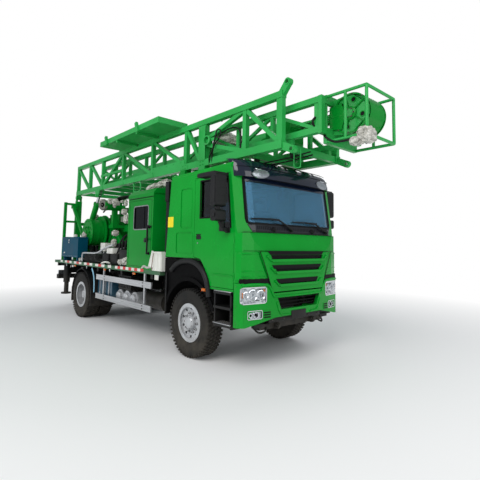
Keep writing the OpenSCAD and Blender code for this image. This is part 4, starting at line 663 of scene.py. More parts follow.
# %% [markdown]
# ## Windscreen, cowl and wipers
# The screen leans back and its ends turn towards the doors, so one function gives its surface at any place.
# The black seal, the dark cowl with its slots and both wipers all lie on that surface.

# %% The windscreen's surface
SCREEN_LOW, SCREEN_TOP = 1.975, 2.860
SCREEN_NOSE, SCREEN_RAKE = 1.215, 0.130
SCREEN_BEND, SCREEN_TURN = 0.880, math.radians(18)
screen_out = Vector((SCREEN_TOP - SCREEN_LOW, 0, SCREEN_RAKE)).normalized()


def on_screen(y, z, off=0.0):
    """The point of the windscreen's outer surface at y and z, moved out by off."""
    x = SCREEN_NOSE - SCREEN_RAKE * (z - SCREEN_LOW) / (SCREEN_TOP - SCREEN_LOW)
    x -= max(0.0, abs(y) - SCREEN_BEND) * math.tan(SCREEN_TURN)
    return at(x, y, z) + screen_out * off


print("screen leans back", SCREEN_RAKE, "m over", round(SCREEN_TOP - SCREEN_LOW, 3), "m")

# %% Seal and dark borders of the windscreen
bm = bmesh.new()
low_row = [(y, 2.106) for y in (-0.96, -0.88, -0.4, 0.0, 0.4, 0.88, 0.96)]
right_side = [(1.008, 2.135), (1.018, 2.18), (1.012, 2.78), (0.985, 2.826)]
top_row = [(y, 2.832) for y in (0.94, 0.88, 0.4, 0.0, -0.4, -0.88, -0.94)]
left_side = [(-y, z) for y, z in reversed(right_side)]
ribbon(bm, [on_screen(y, z, -0.006) for y, z in low_row + right_side + top_row + left_side], screen_out,
       0.036, 0.014, closed=True)
piece("screen_seal", bm, "seal_rubber")
bm = bmesh.new()
ribbon(bm, [on_screen(y, 2.775, -0.010) for y in (-0.98, -0.88, 0.88, 0.98)], screen_out, 0.085, 0.004)
for y in (-0.988, 0.988):
    ribbon(bm, [on_screen(y, z, -0.010) for z in (2.12, 2.80)], screen_out, 0.030, 0.004)
piece("screen_border", bm, "visor_plastic")
print("windscreen seal and border")

# %% Cowl under the glass, with slots
SLOTS_ACROSS = 44
bm = bmesh.new()
cowl_low, cowl_top = [[(y, z) for y in (-end, -0.88, 0.88, end)] for z, end in ((1.987, 0.93), (2.098, 1.0))]
for k in range(3):
    corners = (cowl_low[k], cowl_low[k + 1], cowl_top[k + 1], cowl_top[k])
    plate(bm, [on_screen(*corner, -0.010) for corner in corners], 0.014)
piece("cowl", bm, "cowl_plastic")
bm = bmesh.new()
half = Vector((0.002, 0.007, 0.026))
turn = Matrix.Rotation(-math.atan2(SCREEN_RAKE, SCREEN_TOP - SCREEN_LOW), 3, "Y")
for k in range(SLOTS_ACROSS):
    middle = on_screen(-0.84 + k * 1.68 / (SLOTS_ACROSS - 1), 2.052, 0.004)
    block(bm, middle - half, middle + half, 0, turn)
piece("cowl_slots", bm, "seal_rubber")
bm = bmesh.new()
for z, end, wide in ((2.094, 0.99, 0.010), (2.000, 0.93, 0.012)):
    ribbon(bm, [on_screen(y, z, 0.003) for y in (-end, -0.88, 0.88, end)], screen_out, wide, 0.006)
piece("cowl_ribs", bm, "grained_black")
print("cowl with", SLOTS_ACROSS, "slots")

# %% Wipers
def wiper(name, pivot, elbow, blade_ends):
    """A pivot cap, an arm in two stretches, and a sprung blade with its rubber."""
    bm = bmesh.new()
    foot = on_screen(*pivot, 0.004)
    bar(bm, foot, foot + screen_out * 0.045, 0.032, 20, 0.024)
    root = foot + screen_out * 0.034
    knee = on_screen(*elbow, 0.050)
    bar(bm, root, knee, 0.018, 8, 0.013)
    ends = [on_screen(*q, 0.026) for q in blade_ends]
    middle = (ends[0] + ends[1]) / 2
    bar(bm, knee, middle + screen_out * 0.020, 0.013, 8, 0.010)
    block(bm, middle - Vector((0.012, 0.035, 0.008)), middle + Vector((0.018, 0.035, 0.012)), 0.003)
    tube(bm, [ends[0], (ends[0] * 2 + middle) / 3 + screen_out * 0.012, middle + screen_out * 0.016,
              (ends[1] * 2 + middle) / 3 + screen_out * 0.012, ends[1]], 0.010, 8)
    piece(name, bm, "grained_black")
    bm = bmesh.new()
    ribbon(bm, [e - screen_out * 0.022 for e in ends], screen_out, 0.012, 0.020)
    piece(name + "_rubber", bm, "seal_rubber")


wiper("wiper_right", (-0.10, 2.040), (-0.41, 2.172), ((-0.95, 2.175), (-0.38, 2.190)))
wiper("wiper_left", (0.82, 2.030), (0.50, 2.154), ((-0.06, 2.165), (0.58, 2.172)))
bm = bmesh.new()
for y in (-0.50, 0.44):
    foot = on_screen(y, 2.030, 0.0)
    bar(bm, foot, foot + screen_out * 0.040, 0.042, 24, 0.030)
    bar(bm, foot + screen_out * 0.040, foot + screen_out * 0.048, 0.016, 6)
piece("wiper_pivots", bm, "grained_black")
print("two wipers")

# %% [markdown]
# ## Visor, roof and front panels
# The visor is one glossy moulding. Under it sits a lamp, and the front below the glass has pressed seams,
# slots with a dark mesh over painted shade, and a lip under each slot that catches the light.

# %% Visor: one curved moulding over the windscreen
VISOR_FRONT, VISOR_SIDE, VISOR_SKIN = 1.194, 1.164, 0.012
# How far the visor sets back at each distance from the middle
visor_plan = ((0.0, 0.0), (0.40, 0.004), (0.70, 0.016), (0.90, 0.042), (1.02, 0.080), (1.10, 0.126),
              (1.145, 0.176), (1.164, 0.236))
# The section in the middle: how far back, and its height
visor_section = ((0.002, 2.802), (0.0, 2.824), (0.003, 2.870), (0.012, 2.915), (0.030, 2.960),
                 (0.056, 3.004), (0.092, 3.044), (0.138, 3.074), (0.196, 3.094), (0.262, 3.104))
ROWS = len(visor_section)


def visor_point(y, row, inset=0.0):
    """A point of the visor's skin: the ends set back and their top edge drops."""
    back, z = visor_section[row]
    out = abs(y) / VISOR_SIDE
    forward = VISOR_FRONT - between(visor_plan, abs(y)) - back * (1 - 0.55 * out ** 5) - inset
    return at(forward, y * (1 - inset / VISOR_SIDE),
              z - 0.030 * out ** 4 * row / ROWS - inset * 0.4 * (row > 4))


stations = [VISOR_SIDE * math.sin(math.pi / 2 * k / 24) for k in range(-24, 25)]
bm = bmesh.new()
# Each station is a closed loop of corners, up the outer skin and down the inner one
loops = []
for y in stations:
    outer, inner = [[bm.verts.new(visor_point(y, row, inset)) for row in range(ROWS)]
                    for inset in (0.0, VISOR_SKIN)]
    loops.append(outer + inner[::-1])
for one, two in zip(loops, loops[1:]):
    for k in range(2 * ROWS):
        bm.faces.new((one[k - 1], one[k], two[k], two[k - 1]))
for loop in (loops[0], loops[-1]):
    for k in range(ROWS - 1):
        bm.faces.new((loop[k], loop[k + 1], loop[-2 - k], loop[-1 - k]))
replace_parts(piece("visor_moulding", bm, "visor_plastic"), "sun_visor")
bm = bmesh.new()
for side in (-1, 1):
    slab(bm, (1.000, side * 0.71 - 0.010, 2.862), (1.172, side * 0.71 + 0.010, 2.925), 0.004)
    slab(bm, (0.925, side * 1.08 - 0.010, 2.862), (0.970, side * 1.08 + 0.040, 2.940), 0.004)
piece("visor_brackets", bm, "grained_black")
print("visor over", len(stations), "stations")

# %% Visor lamps, rib and slots
LAMP_Y, LAMP_Z = -0.76, 2.856
lamp_face = VISOR_FRONT - between(visor_plan, -LAMP_Y) - 0.001
bm = bmesh.new()
rims = bmesh.new()
oval = [(0.150 * math.cos(math.tau * k / 28), 0.052 * math.sin(math.tau * k / 28)) for k in range(28)]
lens_edge, rim_edge = [[at(lamp_face - 0.102 * out, LAMP_Y - out * wide, LAMP_Z + up * tall - 0.10 * out)
                        for out, up in oval] for wide, tall in ((1, 1), (1.06, 1.14))]
plate(bm, lens_edge, -0.016, 0.005)
ribbon(rims, rim_edge, (1, 0, 0), 0.010, 0.012, closed=True)
slab(rims, (lamp_face - 0.012, -0.860, 2.918), (lamp_face + 0.004, -0.740, 2.940), 0.005)
piece("visor_lamps", bm, "lamp_silver", both=True)
piece("visor_lamp_rims", rims, "polished_rod", both=True)
bm = bmesh.new()
for row, wide in ((4, 0.008), (7, 0.010)):
    ribbon(bm, [visor_point(y, row) + Vector((0.001, 0, 0)) for y in stations[4:-4]], (0.9, 0, 0.4), wide,
           0.003)
for y in (-0.60, -0.36, -0.12, 0.12, 0.36, 0.60):
    ribbon(bm, [visor_point(y, row) + Vector((0.001, 0, 0.001)) for row in (5, 6, 7, 8)], (0.7, 0, 0.7),
           0.026, 0.004)
piece("visor_slots", bm, "seal_rubber")
print("visor lamps")

# %% The surfaces of the bumper and of the cab's lower front
bumper_plan = ((0.0, 1.320), (0.50, 1.312), (0.85, 1.265), (1.12, 1.215), (1.18, 1.140))
front_plan = ((0.0, 1.295), (0.64, 1.287), (0.94, 1.235), (1.12, 1.180), (1.18, 1.100))


def on_bumper(pairs, off=0.0):
    """Places on the bumper's right half, from pairs of how far from the middle and how high."""
    return [at(between(bumper_plan, y) + off, -y, z) for y, z in pairs]


def on_front(pairs, off=0.0):
    """Places on the right half of the cab's front above the bumper."""
    return [at(between(front_plan, y) + off, -y, z) for y, z in pairs]


def grille_x(z):
    """How far the leaning grille panel reaches at a height."""
    return 1.289 + (1.710 - z) * 0.033


print("bumper reaches", bumper_plan[0][1], "ahead of the axle")

# %% Grille mesh and lips
slots = ((1.620, 0.640), (1.440, 0.550), (1.250, 0.470))
# Painted shade in the slots: a dark backing behind each slot's fins, and dark plates over the recesses
bm = bmesh.new()
fins = bmesh.new()
lips = bmesh.new()
for z, half in slots:
    slab(bm, (1.247, -half, z - 0.034), (1.262, half, z + 0.034))
    count = int(half * 2 / 0.022)
    for k in range(count):
        y = -half + 0.02 + k * (2 * half - 0.04) / (count - 1)
        slab(fins, (1.260, y - 0.0035, z - 0.031), (1.272, y + 0.0035, z + 0.031))
    for k in (-1, 0, 1):
        slab(fins, (1.262, -half + 0.02, z + k * 0.018 - 0.002), (1.274, half - 0.02, z + k * 0.018 + 0.002))
    right = [(-half - 0.095, z + 0.022), (-half - 0.050, z - 0.006), (-half - 0.012, z - 0.044)]
    tube(lips, [at(grille_x(z) + 0.003, y, h) for y, h in right + [(-y, h) for y, h in reversed(right)]],
         0.016, 12)
# Painted shade: a dark plate over each slot's recess, a little wider to the left
for recess in (((-0.715, 1.712), (-0.655, 1.655), (0.600, 1.655), (0.660, 1.712)),
               ((-0.625, 1.505), (-0.575, 1.450), (0.530, 1.450), (0.580, 1.505)),
               ((-0.535, 1.300), (-0.490, 1.235), (0.440, 1.235), (0.485, 1.300))):
    plate(bm, [at(grille_x(z) + 0.002, y, z) for y, z in recess], 0.003)
piece("grille_slot_shade", bm, "seal_rubber")
piece("grille_fins", fins, "grained_black")
piece("grille_lips", lips, "cab_enamel")
print(len(slots), "grille slots")

# %% Seams and folds on the front
bm = bmesh.new()
seam_y = (-1.10, -0.94, -0.8, -0.4, 0.0, 0.4, 0.8, 0.94, 1.10)
for ahead_of_axle, sunk, z, wide in ((1.243, 0.003, 1.979, 0.008), (1.262, 0.004, 1.712, 0.006)):
    ribbon(bm, [at(min(ahead_of_axle, between(front_plan, abs(y))) - sunk, y, z) for y in seam_y], (1, 0, 0),
           wide, 0.006)
for side in (-1, 1):
    ribbon(bm, [at(1.288, side * 0.868, 1.706), at(1.296, side * 0.800, 1.560),
                at(1.300, side * 0.608, 1.115)],
           (1, 0, 0), 0.010, 0.004)
piece("front_seams", bm, "seal_rubber")
bm = bmesh.new()
for z, start, radius in ((1.425, 0.80, 0.010), (1.672, 0.87, 0.012), (1.352, 0.74, 0.008)):
    tube(bm, on_front([(y, z) for y in (start, 0.94, 1.12, 1.160)], 0.008), radius)
piece("corner_creases", bm, "cab_enamel", both=True)
# Painted shade: dark strips sit in the gaps between the corner panels and the bumper
bm = bmesh.new()
gap_y = (0.665, 0.74, 0.84, 0.94, 1.03, 1.10, 1.15)
for ya, yb in zip(gap_y, gap_y[1:]):
    xa, xb = [max(between(front_plan, y), between(bumper_plan, y)) + 0.004 for y in (ya, yb)]
    skin(bm, [[at(x - deep, -y, z) for deep, z in ((0.03, low), (0.0, low), (0.0, top), (0.03, top))]
              for x, y, low, top in ((xa, ya, 1.248, 1.312), (xb, yb, 1.250, 1.318))])
piece("corner_gap_shade", bm, "seal_rubber", both=True)
print("front seams")

# %% [markdown]
# ## Lamps and bumper
# The CAD lamp is a filled block behind the bumper's skin. Here it turns into a bright reflector, and rings,
# a bulb shield, an amber corner and dark gaps stand on it, close under where a clear cover would be.

# %% Head lamps
nodes["lamps"].data.materials.clear()
nodes["lamps"].data.materials.append(finishes["reflector"])
rims = bmesh.new()
dark = bmesh.new()
bulbs = bmesh.new()
amber = bmesh.new()
mask = bmesh.new()
for low, high, radius, off, wide in (((0.722, 0.967), (1.143, 1.193), 0.036, -0.004, 0.012),
                                     ((0.800, 0.752), (1.050, 0.868), 0.022, 0.002, 0.010)):
    ribbon(rims, on_bumper(rounded(low, high, radius), off), (1, 0, 0), wide, 0.008, closed=True)
for y, z, r in ((0.815, 1.080, 0.072), (0.955, 1.085, 0.078), (1.070, 1.090, 0.046)):
    lean = Vector((1, -0.22, 0)).normalized()
    centre = on_bumper([(y, z)], -0.012)[0]
    lathe(rims, [(r, 0.0), (r + 0.004, 0.010), (r - 0.006, 0.012), (r - 0.014, 0.004)], centre, lean, 28)
    bar(dark, centre, centre + lean * 0.004, r * 0.52, 20)
    bar(bulbs, centre, centre + lean * 0.012, r * 0.30, 16, r * 0.18)
for z in (1.012, 1.160):
    ribbon(dark, on_bumper([(0.74, z), (0.85, z), (1.00, z)], -0.007), (1, 0, 0), 0.010, 0.003)
for y, back, front, ys, zs in ((0.76, 0.016, 0.002, (-0.777, -0.737), (1.122, 1.168)),
                               (1.12, 0.022, 0.004, (-1.130, -1.094), (1.05, 1.13))):
    face = between(bumper_plan, y)
    slab(amber, (face - back, ys[0], zs[0]), (face - front, ys[1], zs[1]), 0.006)
# Fog lamp: a bright lamp outside, and green with three dark slots inside
plate(mask, on_bumper(((0.640, 0.860), (0.800, 0.860), (0.800, 0.742), (0.640, 0.742)), -0.001), 0.006)
for z in (0.756, 0.790, 0.824):
    plate(dark, on_bumper(((0.648, z + 0.018), (0.770, z + 0.018), (0.770, z), (0.648, z)), 0.007), 0.003)
for y, r in ((0.90, 0.044), (0.995, 0.030)):
    back, front = on_bumper([(y, 0.808)], -0.006)[0], on_bumper([(y, 0.808)], 0.002)[0]
    lathe(rims, [(r, 0), (r + 0.003, 0.012), (r - 0.008, 0.012)], back - Vector((0.002, 0, 0)), (1, -0.2, 0),
          24)
    bar(dark, back, front, r * 0.45, 16)
piece("fog_lamp_green", mask, "cab_enamel", both=True)
piece("lamp_rims", rims, "polished_rod", both=True)
piece("lamp_shadows", dark, "seal_rubber", both=True)
piece("lamp_bulbs", bulbs, "lamp_lens", both=True)
piece("lamp_amber", amber, "amber_lens", both=True)
print("lamps dressed")

# %% Raised ridge along the bumper's top and round its opening
ridge = ((1.14, 1.226), (1.02, 1.236), (0.85, 1.234), (0.70, 1.216), (0.640, 1.160), (0.590, 1.066),
         (0.545, 1.046), (0.30, 1.042))
opening = ((0.525, 0.965), (0.485, 0.850), (0.430, 0.782), (0.35, 0.768), (0.25, 0.764))
bm = bmesh.new()
tube(bm, smooth_path(on_bumper(ridge, 0.004), 4), 0.019, 12)
tube(bm, smooth_path(on_bumper(opening, 0.003), 4), 0.016, 12)
bmesh.ops.mirror(bm, geom=bm.verts[:] + bm.edges[:] + bm.faces[:], matrix=Matrix.Identity(4), axis="Y")
tube(bm, [at(1.321, y, 1.042) for y in (-0.30, 0.0, 0.30)], 0.019, 12)
piece("bumper_ridges", bm, "cab_enamel")
print("bumper ridges")

# %% Bumper trim, plate and what hangs under it
bm = bmesh.new()
slab(bm, (1.322, -0.215, 0.700), (1.330, 0.135, 0.815), 0.004)
piece("blank_number_plate", bm, "grained_black")
bm = bmesh.new()
for side in (-1, 1):
    ribbon(bm, [at(1.262, side * y, z) for y, z in ((0.10, 1.035), (0.40, 1.035), (0.50, 1.000))], (1, 0, 0),
           0.020, 0.03)
for z in (0.895, 0.945, 0.995):
    slab(bm, (1.246, -0.44, z - 0.008), (1.262, 0.44, z + 0.008), 0.003)
piece("bumper_grid", bm, "seal_rubber")
bm = bmesh.new()
slab(bm, (1.19, -0.62, 0.655), (1.245, 0.62, 0.735), 0.012)
for side in (-1, 1):
    slab(bm, (1.13, side * 0.78 - 0.10, 0.60), (1.20, side * 0.78 + 0.10, 0.66), 0.010)
    pipe(bm, ((1.12, side * 0.60, 0.64), (1.20, side * 0.64, 0.56), (1.18, side * 0.76, 0.53),
              (1.10, side * 0.82, 0.60)), 0.014)
piece("bumper_underside", bm, "grained_black")
bm = bmesh.new()
for y in (-0.55, -0.30):
    bolt(bm, at(1.245, y, 0.695), (1, 0, 0), 0.014, 0.012)
for z in (0.70, 0.93, 1.21):
    bolt(bm, at(1.128, -1.181, z), (0, -1, 0), 0.008, 0.005)
piece("bumper_bolts", bm, "cast_iron", both=True)
print("bumper trim")

# %% [markdown]
# ## Doors, mirrors and steps
# Each door carries its window seal, a dark handle recess, a lock, and the mirrors' glass. The pieces ride
# the door, so they swing with it.

# %% Door trim on both sides
WINDOW = ((0.250, 2.210), (0.250, 2.800), (0.925, 2.800), (1.000, 2.040), (0.790, 2.040), (0.760, 2.210))
CAB_Y = 1.180
MIRROR_Y = -1.35
RIGHT = (0, -1, 0)
bm = bmesh.new()
outline = upright(WINDOW, -CAB_Y - 0.0005)
ribbon(bm, outline, RIGHT, 0.030, 0.004, closed=True)
ribbon(bm, [p + Vector((0, 0.028, 0)) for p in outline], RIGHT, 0.040, 0.008, closed=True)
pair("window_seal", bm, "seal_rubber", "door")
bm = bmesh.new()
slab(bm, (0.156, -1.174, 1.876), (0.284, -1.162, 1.954))
slab(bm, (0.162, -1.181, 1.918), (0.270, -1.171, 1.948), 0.004)
pair("door_handle", bm, "grained_black", "door")
bm = bmesh.new()
bar(bm, at(0.20, -1.1795, 1.815), at(0.20, -1.1835, 1.815), 0.012, 20)
pair("door_lock", bm, "polished_rod", "door")
bm = bmesh.new()
ribbon(bm, upright(((0.50, 1.352), (0.90, 1.350), (1.06, 1.344)), -CAB_Y), RIGHT, 0.020, 0.006)
tube(bm, [at(0.62, -CAB_Y - 0.004, 1.362), at(0.90, -CAB_Y - 0.004, 1.359), at(1.05, -CAB_Y - 0.003, 1.354)],
     0.009)
pair("door_crease", bm, "cab_enamel", "door")
print("door trim on both sides")

# %% Mirror glass that looks back, and ribs across the front shells
bm = bmesh.new()
for x, half, low, top in ((0.8385, 0.088, 2.365, 2.805), (0.8445, 0.082, 2.150, 2.275)):
    slab(bm, (x, MIRROR_Y - half, low), (x + 0.004, MIRROR_Y + half, top), 0.001)
pair("mirror_glass", bm, "mirror_face", "door")
bm = bmesh.new()
for z in (2.50, 2.61, 2.72):
    slab(bm, (0.95, MIRROR_Y - 0.098, z - 0.004), (0.9665, MIRROR_Y + 0.098, z + 0.004), 0.002)
for low, top in ((2.395, 2.775), (2.185, 2.240)):
    slab(bm, (0.86, -1.457, low), (0.95, -1.449, top), 0.003)
pipe(bm, ((0.905, -1.19, 2.01), (0.915, -1.23, 2.02), (0.915, -1.30, 2.07), (0.905, -1.33, 2.13)), 0.022, 12)
pipe(bm, ((0.95, -1.185, 1.99), (0.975, -1.235, 1.975), (0.96, -1.29, 2.00)), 0.013)
slab(bm, (0.885, -1.198, 1.965), (0.990, -1.178, 2.045), 0.008)
pair("mirror_trim", bm, "grained_black", "door")
print("mirrors on both doors")

# %% Wheel arches: the thick lip over the black well, and the flap behind the wheel
arch = ((-0.516, 1.349), (-0.376, 1.451), (-0.201, 1.508), (0.01, 1.525), (0.212, 1.483), (0.363, 1.388),
        (0.457, 1.261), (0.499, 1.148), (0.536, 1.006))
FLAP_X, FLAP_BOTTOM = -0.650, 0.600
bm = bmesh.new()
tube(bm, smooth_path(upright(arch, -1.186), 4), 0.046, 16)
pipe(bm, ((FLAP_X - 0.02, -1.190, 1.30), (FLAP_X, -1.200, 1.10), (FLAP_X, -1.205, FLAP_BOTTOM)), 0.016,
     per_span=4)
pair("arch_lip", bm, "grained_black")
bm = bmesh.new()
slab(bm, (FLAP_X - 0.010, -1.200, FLAP_BOTTOM), (FLAP_X + 0.004, -0.800, 1.300), 0.003)
for k in range(4):
    bolt(bm, at(FLAP_X + 0.004, -0.86 - 0.09 * k, 1.24), (1, 0, 0), 0.012, 0.008)
pair("front_flap", bm, "well_black")
print("arches over", len(arch), "points")

# %% Steps: alloy treads with studs
treads = bmesh.new()
pins = bmesh.new()
for z, reach in ((1.116, 1.205), (0.656, 1.215)):
    slab(treads, (0.664, -reach + 0.002, z), (1.046, -reach + 0.178, z + 0.012), 0.003)
    for k in range(9):
        for j in range(3):
            spot = at(0.70 + k * 0.040, -reach + 0.15 - j * 0.045, z + 0.012)
            bar(pins, spot, spot + Vector((0, 0, 0.004)), 0.011, 10, 0.008)
for x in (0.655, 1.050):
    bolt(pins, at(x, -1.192, 0.80), RIGHT, 0.010)
piece("step_treads", treads, "brushed_alloy", both=True)
piece("step_studs", pins, "cast_iron", both=True)
print("steps dressed")

# %% Small things on the cab's sides
bm = bmesh.new()
slab(bm, (-0.690, -1.1822, 2.085), (-0.520, -1.1800, 2.265))
piece("blank_yellow_sticker", bm, "sticker_yellow")
bm = bmesh.new()
slab(bm, (0.400, -1.240, 1.084), (0.490, -1.212, 1.130), 0.006)
piece("arch_markers", bm, "amber_lens", both=True)
bm = bmesh.new()
for low, high in (((-0.300, 2.060), (0.020, 2.720)), ((-0.420, 1.640), (0.060, 1.990))):
    ribbon(bm, upright(rounded(low, high, 0.045), -CAB_Y + 0.002), RIGHT, 0.010, 0.005, closed=True)
piece("side_panel_rims", bm, "cab_enamel", both=True)
bm = bmesh.new()
ribbon(bm, upright([(x, 1.566) for x in (-0.73, -0.2, 0.26)], -CAB_Y + 0.001), RIGHT, 0.012, 0.006)
piece("arch_top_seal", bm, "seal_rubber", both=True)
print("cab sides dressed")

# %% [markdown]
# ## Inside the cab
# Through the glass one sees pale seat covers, a dark dash with a binnacle, the wheel and the mirror. They
# make the cab read as a room, so a few rounded pieces are enough.

# %% Seats, dash and mirror
bm = bmesh.new()
SEAT_Y = -0.62
lean = Matrix.Rotation(math.radians(-8), 3, "Y")
slab(bm, (-0.235, SEAT_Y - 0.225, 1.915), (0.225, SEAT_Y + 0.225, 1.975), 0.024)
slab(bm, (-0.13, SEAT_Y - 0.21, 1.99), (-0.07, SEAT_Y + 0.21, 2.44), 0.024, lean)
slab(bm, (-0.235, SEAT_Y - 0.115, 2.50), (-0.20, SEAT_Y + 0.115, 2.63), 0.014, lean)
piece("seat_covers", bm, "pale_cover", both=True)
bm = bmesh.new()
slab(bm, (0.86, 0.36, 1.925), (1.08, 0.88, 2.015), 0.030)
slab(bm, (0.90, -1.02, 1.928), (1.09, 0.30, 1.958), 0.012)
slab(bm, (0.845, -0.30, 1.70), (0.862, 0.30, 1.90), 0.006)
piece("dash_top", bm, "dash_plastic")
bm = bmesh.new()
slab(bm, (1.035, -0.245, 2.53), (1.062, -0.125, 2.665), 0.012)
bar(bm, at(1.052, -0.185, 2.66), at(1.040, -0.185, 2.82), 0.009, 10)
piece("inside_mirror", bm, "grained_black")
bm = bmesh.new()
slab(bm, (-0.60, -1.10, 2.05), (-0.45, -0.90, 2.80), 0.02)
piece("cab_curtains", bm, "pale_cover", both=True)
print("cab interior dressed")

# %% [markdown]
# ## Operator's cabin and the boxes beside it
# The cabin behind the cab is a plain steel box. A grey seal round a nearly black window, a rain lip, a dark
# seam under the roof's rolled edge and a tall black handle are what the eye finds on it.

# %% Operator's cabin door
CABIN_Y = -1.239
CABIN_X = (-2.100, -1.120)
HANDLE_X, HANDLE_Z, HANDLE_Y = -1.229, (1.600, 2.113), CABIN_Y - 0.047
bm = bmesh.new()
ribbon(bm, upright(rounded((-1.860, 2.065), (-1.290, 2.515), 0.050, 6), CABIN_Y), RIGHT, 0.020, 0.005,
       closed=True)
piece("cabin_window_seal", bm, "window_seal_grey", "booth_door")
bm = bmesh.new()
ribbon(bm, upright(rounded((-1.850, 2.075), (-1.300, 2.505), 0.046, 6), CABIN_Y + 0.012), RIGHT, 0.024,
       0.010, closed=True)
bar(bm, at(-1.470, CABIN_Y + 0.012, 2.08), at(-1.470, CABIN_Y + 0.012, 2.50), 0.006, 8)
piece("cabin_window_inner", bm, "seal_rubber", "booth_door")
bm = bmesh.new()
ribbon(bm, upright(rounded((-2.046, 1.364), (-1.174, 2.626), 0.012, 2), CABIN_Y - 0.0005), RIGHT, 0.006,
       0.001, closed=True)
piece("cabin_door_seam", bm, "seal_rubber")
bm = bmesh.new()
slab(bm, (-1.341, CABIN_Y - 0.043, 1.857), (-1.247, CABIN_Y - 0.015, 1.893), 0.004)
slab(bm, (-1.410, CABIN_Y - 0.020, 1.820), (-1.345, CABIN_Y, 1.900), 0.005)
piece("cabin_latch", bm, "grained_black", "booth_door")
bm = bmesh.new()
low, top = HANDLE_Z
for z in (low + 0.014, top - 0.014):
    slab(bm, (HANDLE_X - 0.013, CABIN_Y - 0.062, z - 0.016), (HANDLE_X + 0.013, CABIN_Y, z + 0.016), 0.004)
    lathe(bm, [(0.030, 0.0), (0.030, 0.006), (0.0, 0.006)], at(HANDLE_X, CABIN_Y, z), RIGHT, 20)
slab(bm, (HANDLE_X - 0.014, CABIN_Y - 0.063, low - 0.002), (HANDLE_X + 0.014, CABIN_Y - 0.031, top + 0.002),
     0.009)
pipe(bm, ((HANDLE_X, HANDLE_Y, top - 0.02), (HANDLE_X + 0.030, HANDLE_Y, top + 0.012),
          (HANDLE_X + 0.062, CABIN_Y - 0.030, top + 0.004),
          (HANDLE_X + 0.070, CABIN_Y - 0.004, top - 0.010)),
     0.0125, 12, 4)
piece("cabin_handle", bm, "grained_black", "booth_door")
bm = bmesh.new()
plate(bm, upright(((-1.205, 1.385), (-1.045, 1.370), (-1.045, 1.665), (-1.095, 1.665)), -1.243), 0.006)
bar(bm, at(-1.205, -1.246, 1.385), at(-1.095, -1.246, 1.665), 0.009, 8)
piece("locker_wing", bm, "white_enamel")
print("operator's cabin door")

# %% Cabin roof, rain lip and corner welds
bm = bmesh.new()
slab(bm, (CABIN_X[0] + 0.004, CABIN_Y - 0.0065, 2.664), (CABIN_X[1] - 0.004, CABIN_Y - 0.0005, 2.676))
piece("cabin_roof_seam", bm, "seal_rubber")
bm = bmesh.new()
slab(bm, (CABIN_X[0], CABIN_Y - 0.014, 2.678), (CABIN_X[1], CABIN_Y + 0.004, 2.692), 0.004)
for x in CABIN_X:
    bar(bm, at(x, CABIN_Y + 0.002, 1.315), at(x, CABIN_Y + 0.002, 2.68), 0.004, 8)
for z in (1.70, 2.08):
    slab(bm, (CABIN_X[1] - 0.001, CABIN_Y + 0.16, z), (CABIN_X[1] + 0.003, CABIN_Y + 0.68, z + 0.02), 0.001)
piece("cabin_rain_lip", bm, "rig_enamel")
bm = bmesh.new()
for k in range(5):
    bolt(bm, at(-2.02 + k * 0.20, CABIN_Y, 1.335), RIGHT, 0.012, 0.008)
for z in (1.42, 2.60):
    for x in (-2.07, -1.15):
        bolt(bm, at(x, CABIN_Y, z), RIGHT, 0.010, 0.007)
piece("cabin_bolts", bm, "cast_iron")
print("cabin roof")

# %% Locker: pressed ribs, its lip and the brown end strip
bm = bmesh.new()
for k in range(4):
    x = -1.010 + k * 0.062
    slab(bm, (x, -1.247, 1.345), (x + 0.024, -1.240, 1.605), 0.004)
for x in (-0.80, -0.784):
    slab(bm, (x, -1.249, 1.33), (x + 0.008, -1.240, 1.62), 0.002)
slab(bm, (-1.10, -1.254, 1.636), (-0.772, -1.238, 1.654), 0.004)
piece("locker_ribs", bm, "white_enamel")
bm = bmesh.new()
plate(bm, upright(((-1.108, 1.312), (-1.090, 1.312), (-1.034, 1.630), (-1.052, 1.630)), -1.2465), 0.006)
piece("locker_end_strip", bm, "rust_brown")
bm = bmesh.new()
pipe(bm, ((-1.50, -1.215, 1.325), (-1.40, -1.225, 1.372), (-1.27, -1.22, 1.352), (-1.13, -1.225, 1.372),
          (-1.02, -1.22, 1.330)), 0.028, 8)
piece("folded_cloth", bm, "film_wrap")
print("locker dressed")

# %% Tool box: lid, hinges, latches and rivets
BOX_REAR, BOX_FRONT, BOX_RIGHT, BOX_LEFT = -5.980, -4.810, -1.237, -0.995
bm = bmesh.new()
slab(bm, (BOX_REAR - 0.008, BOX_RIGHT - 0.006, 1.902), (BOX_FRONT + 0.008, BOX_LEFT + 0.006, 1.942), 0.005)
for x in (BOX_REAR + 0.004, BOX_FRONT - 0.004):
    bar(bm, at(x, BOX_RIGHT + 0.002, 1.42), at(x, BOX_RIGHT + 0.002, 1.90), 0.006, 8)
piece("tool_box_lid", bm, "teal_enamel")
bm = bmesh.new()
slab(bm, (-5.480, BOX_RIGHT - 0.014, 1.842), (-5.440, BOX_RIGHT, 1.880), 0.004)
slab(bm, (-5.474, BOX_RIGHT - 0.016, 1.782), (-5.446, BOX_RIGHT, 1.816), 0.004)
slab(bm, (-5.83, BOX_RIGHT - 0.004, 1.51), (-5.76, BOX_RIGHT, 1.545), 0.002)
slab(bm, (-5.235, BOX_RIGHT + 0.03, 1.940), (-5.155, BOX_RIGHT + 0.10, 2.010), 0.012)
piece("tool_box_fittings", bm, "white_fitting")
bm = bmesh.new()
for k in range(13):
    bolt(bm, at(-5.93 + k * 0.09, BOX_RIGHT, 1.452), RIGHT, 0.010, 0.005)
for x in (-5.70, -5.10):
    bar(bm, at(x - 0.05, BOX_LEFT + 0.004, 1.93), at(x + 0.05, BOX_LEFT + 0.004, 1.93), 0.010, 12)
piece("tool_box_rivets", bm, "brushed_alloy")
print("tool box dressed")

# %% [markdown]
# ## Stripe along the deck's edge
# White blocks alternate with red ones, and with dark ones where the red has worn off. They lie on the edge
# of the deck on both sides, a millimetre proud of it.

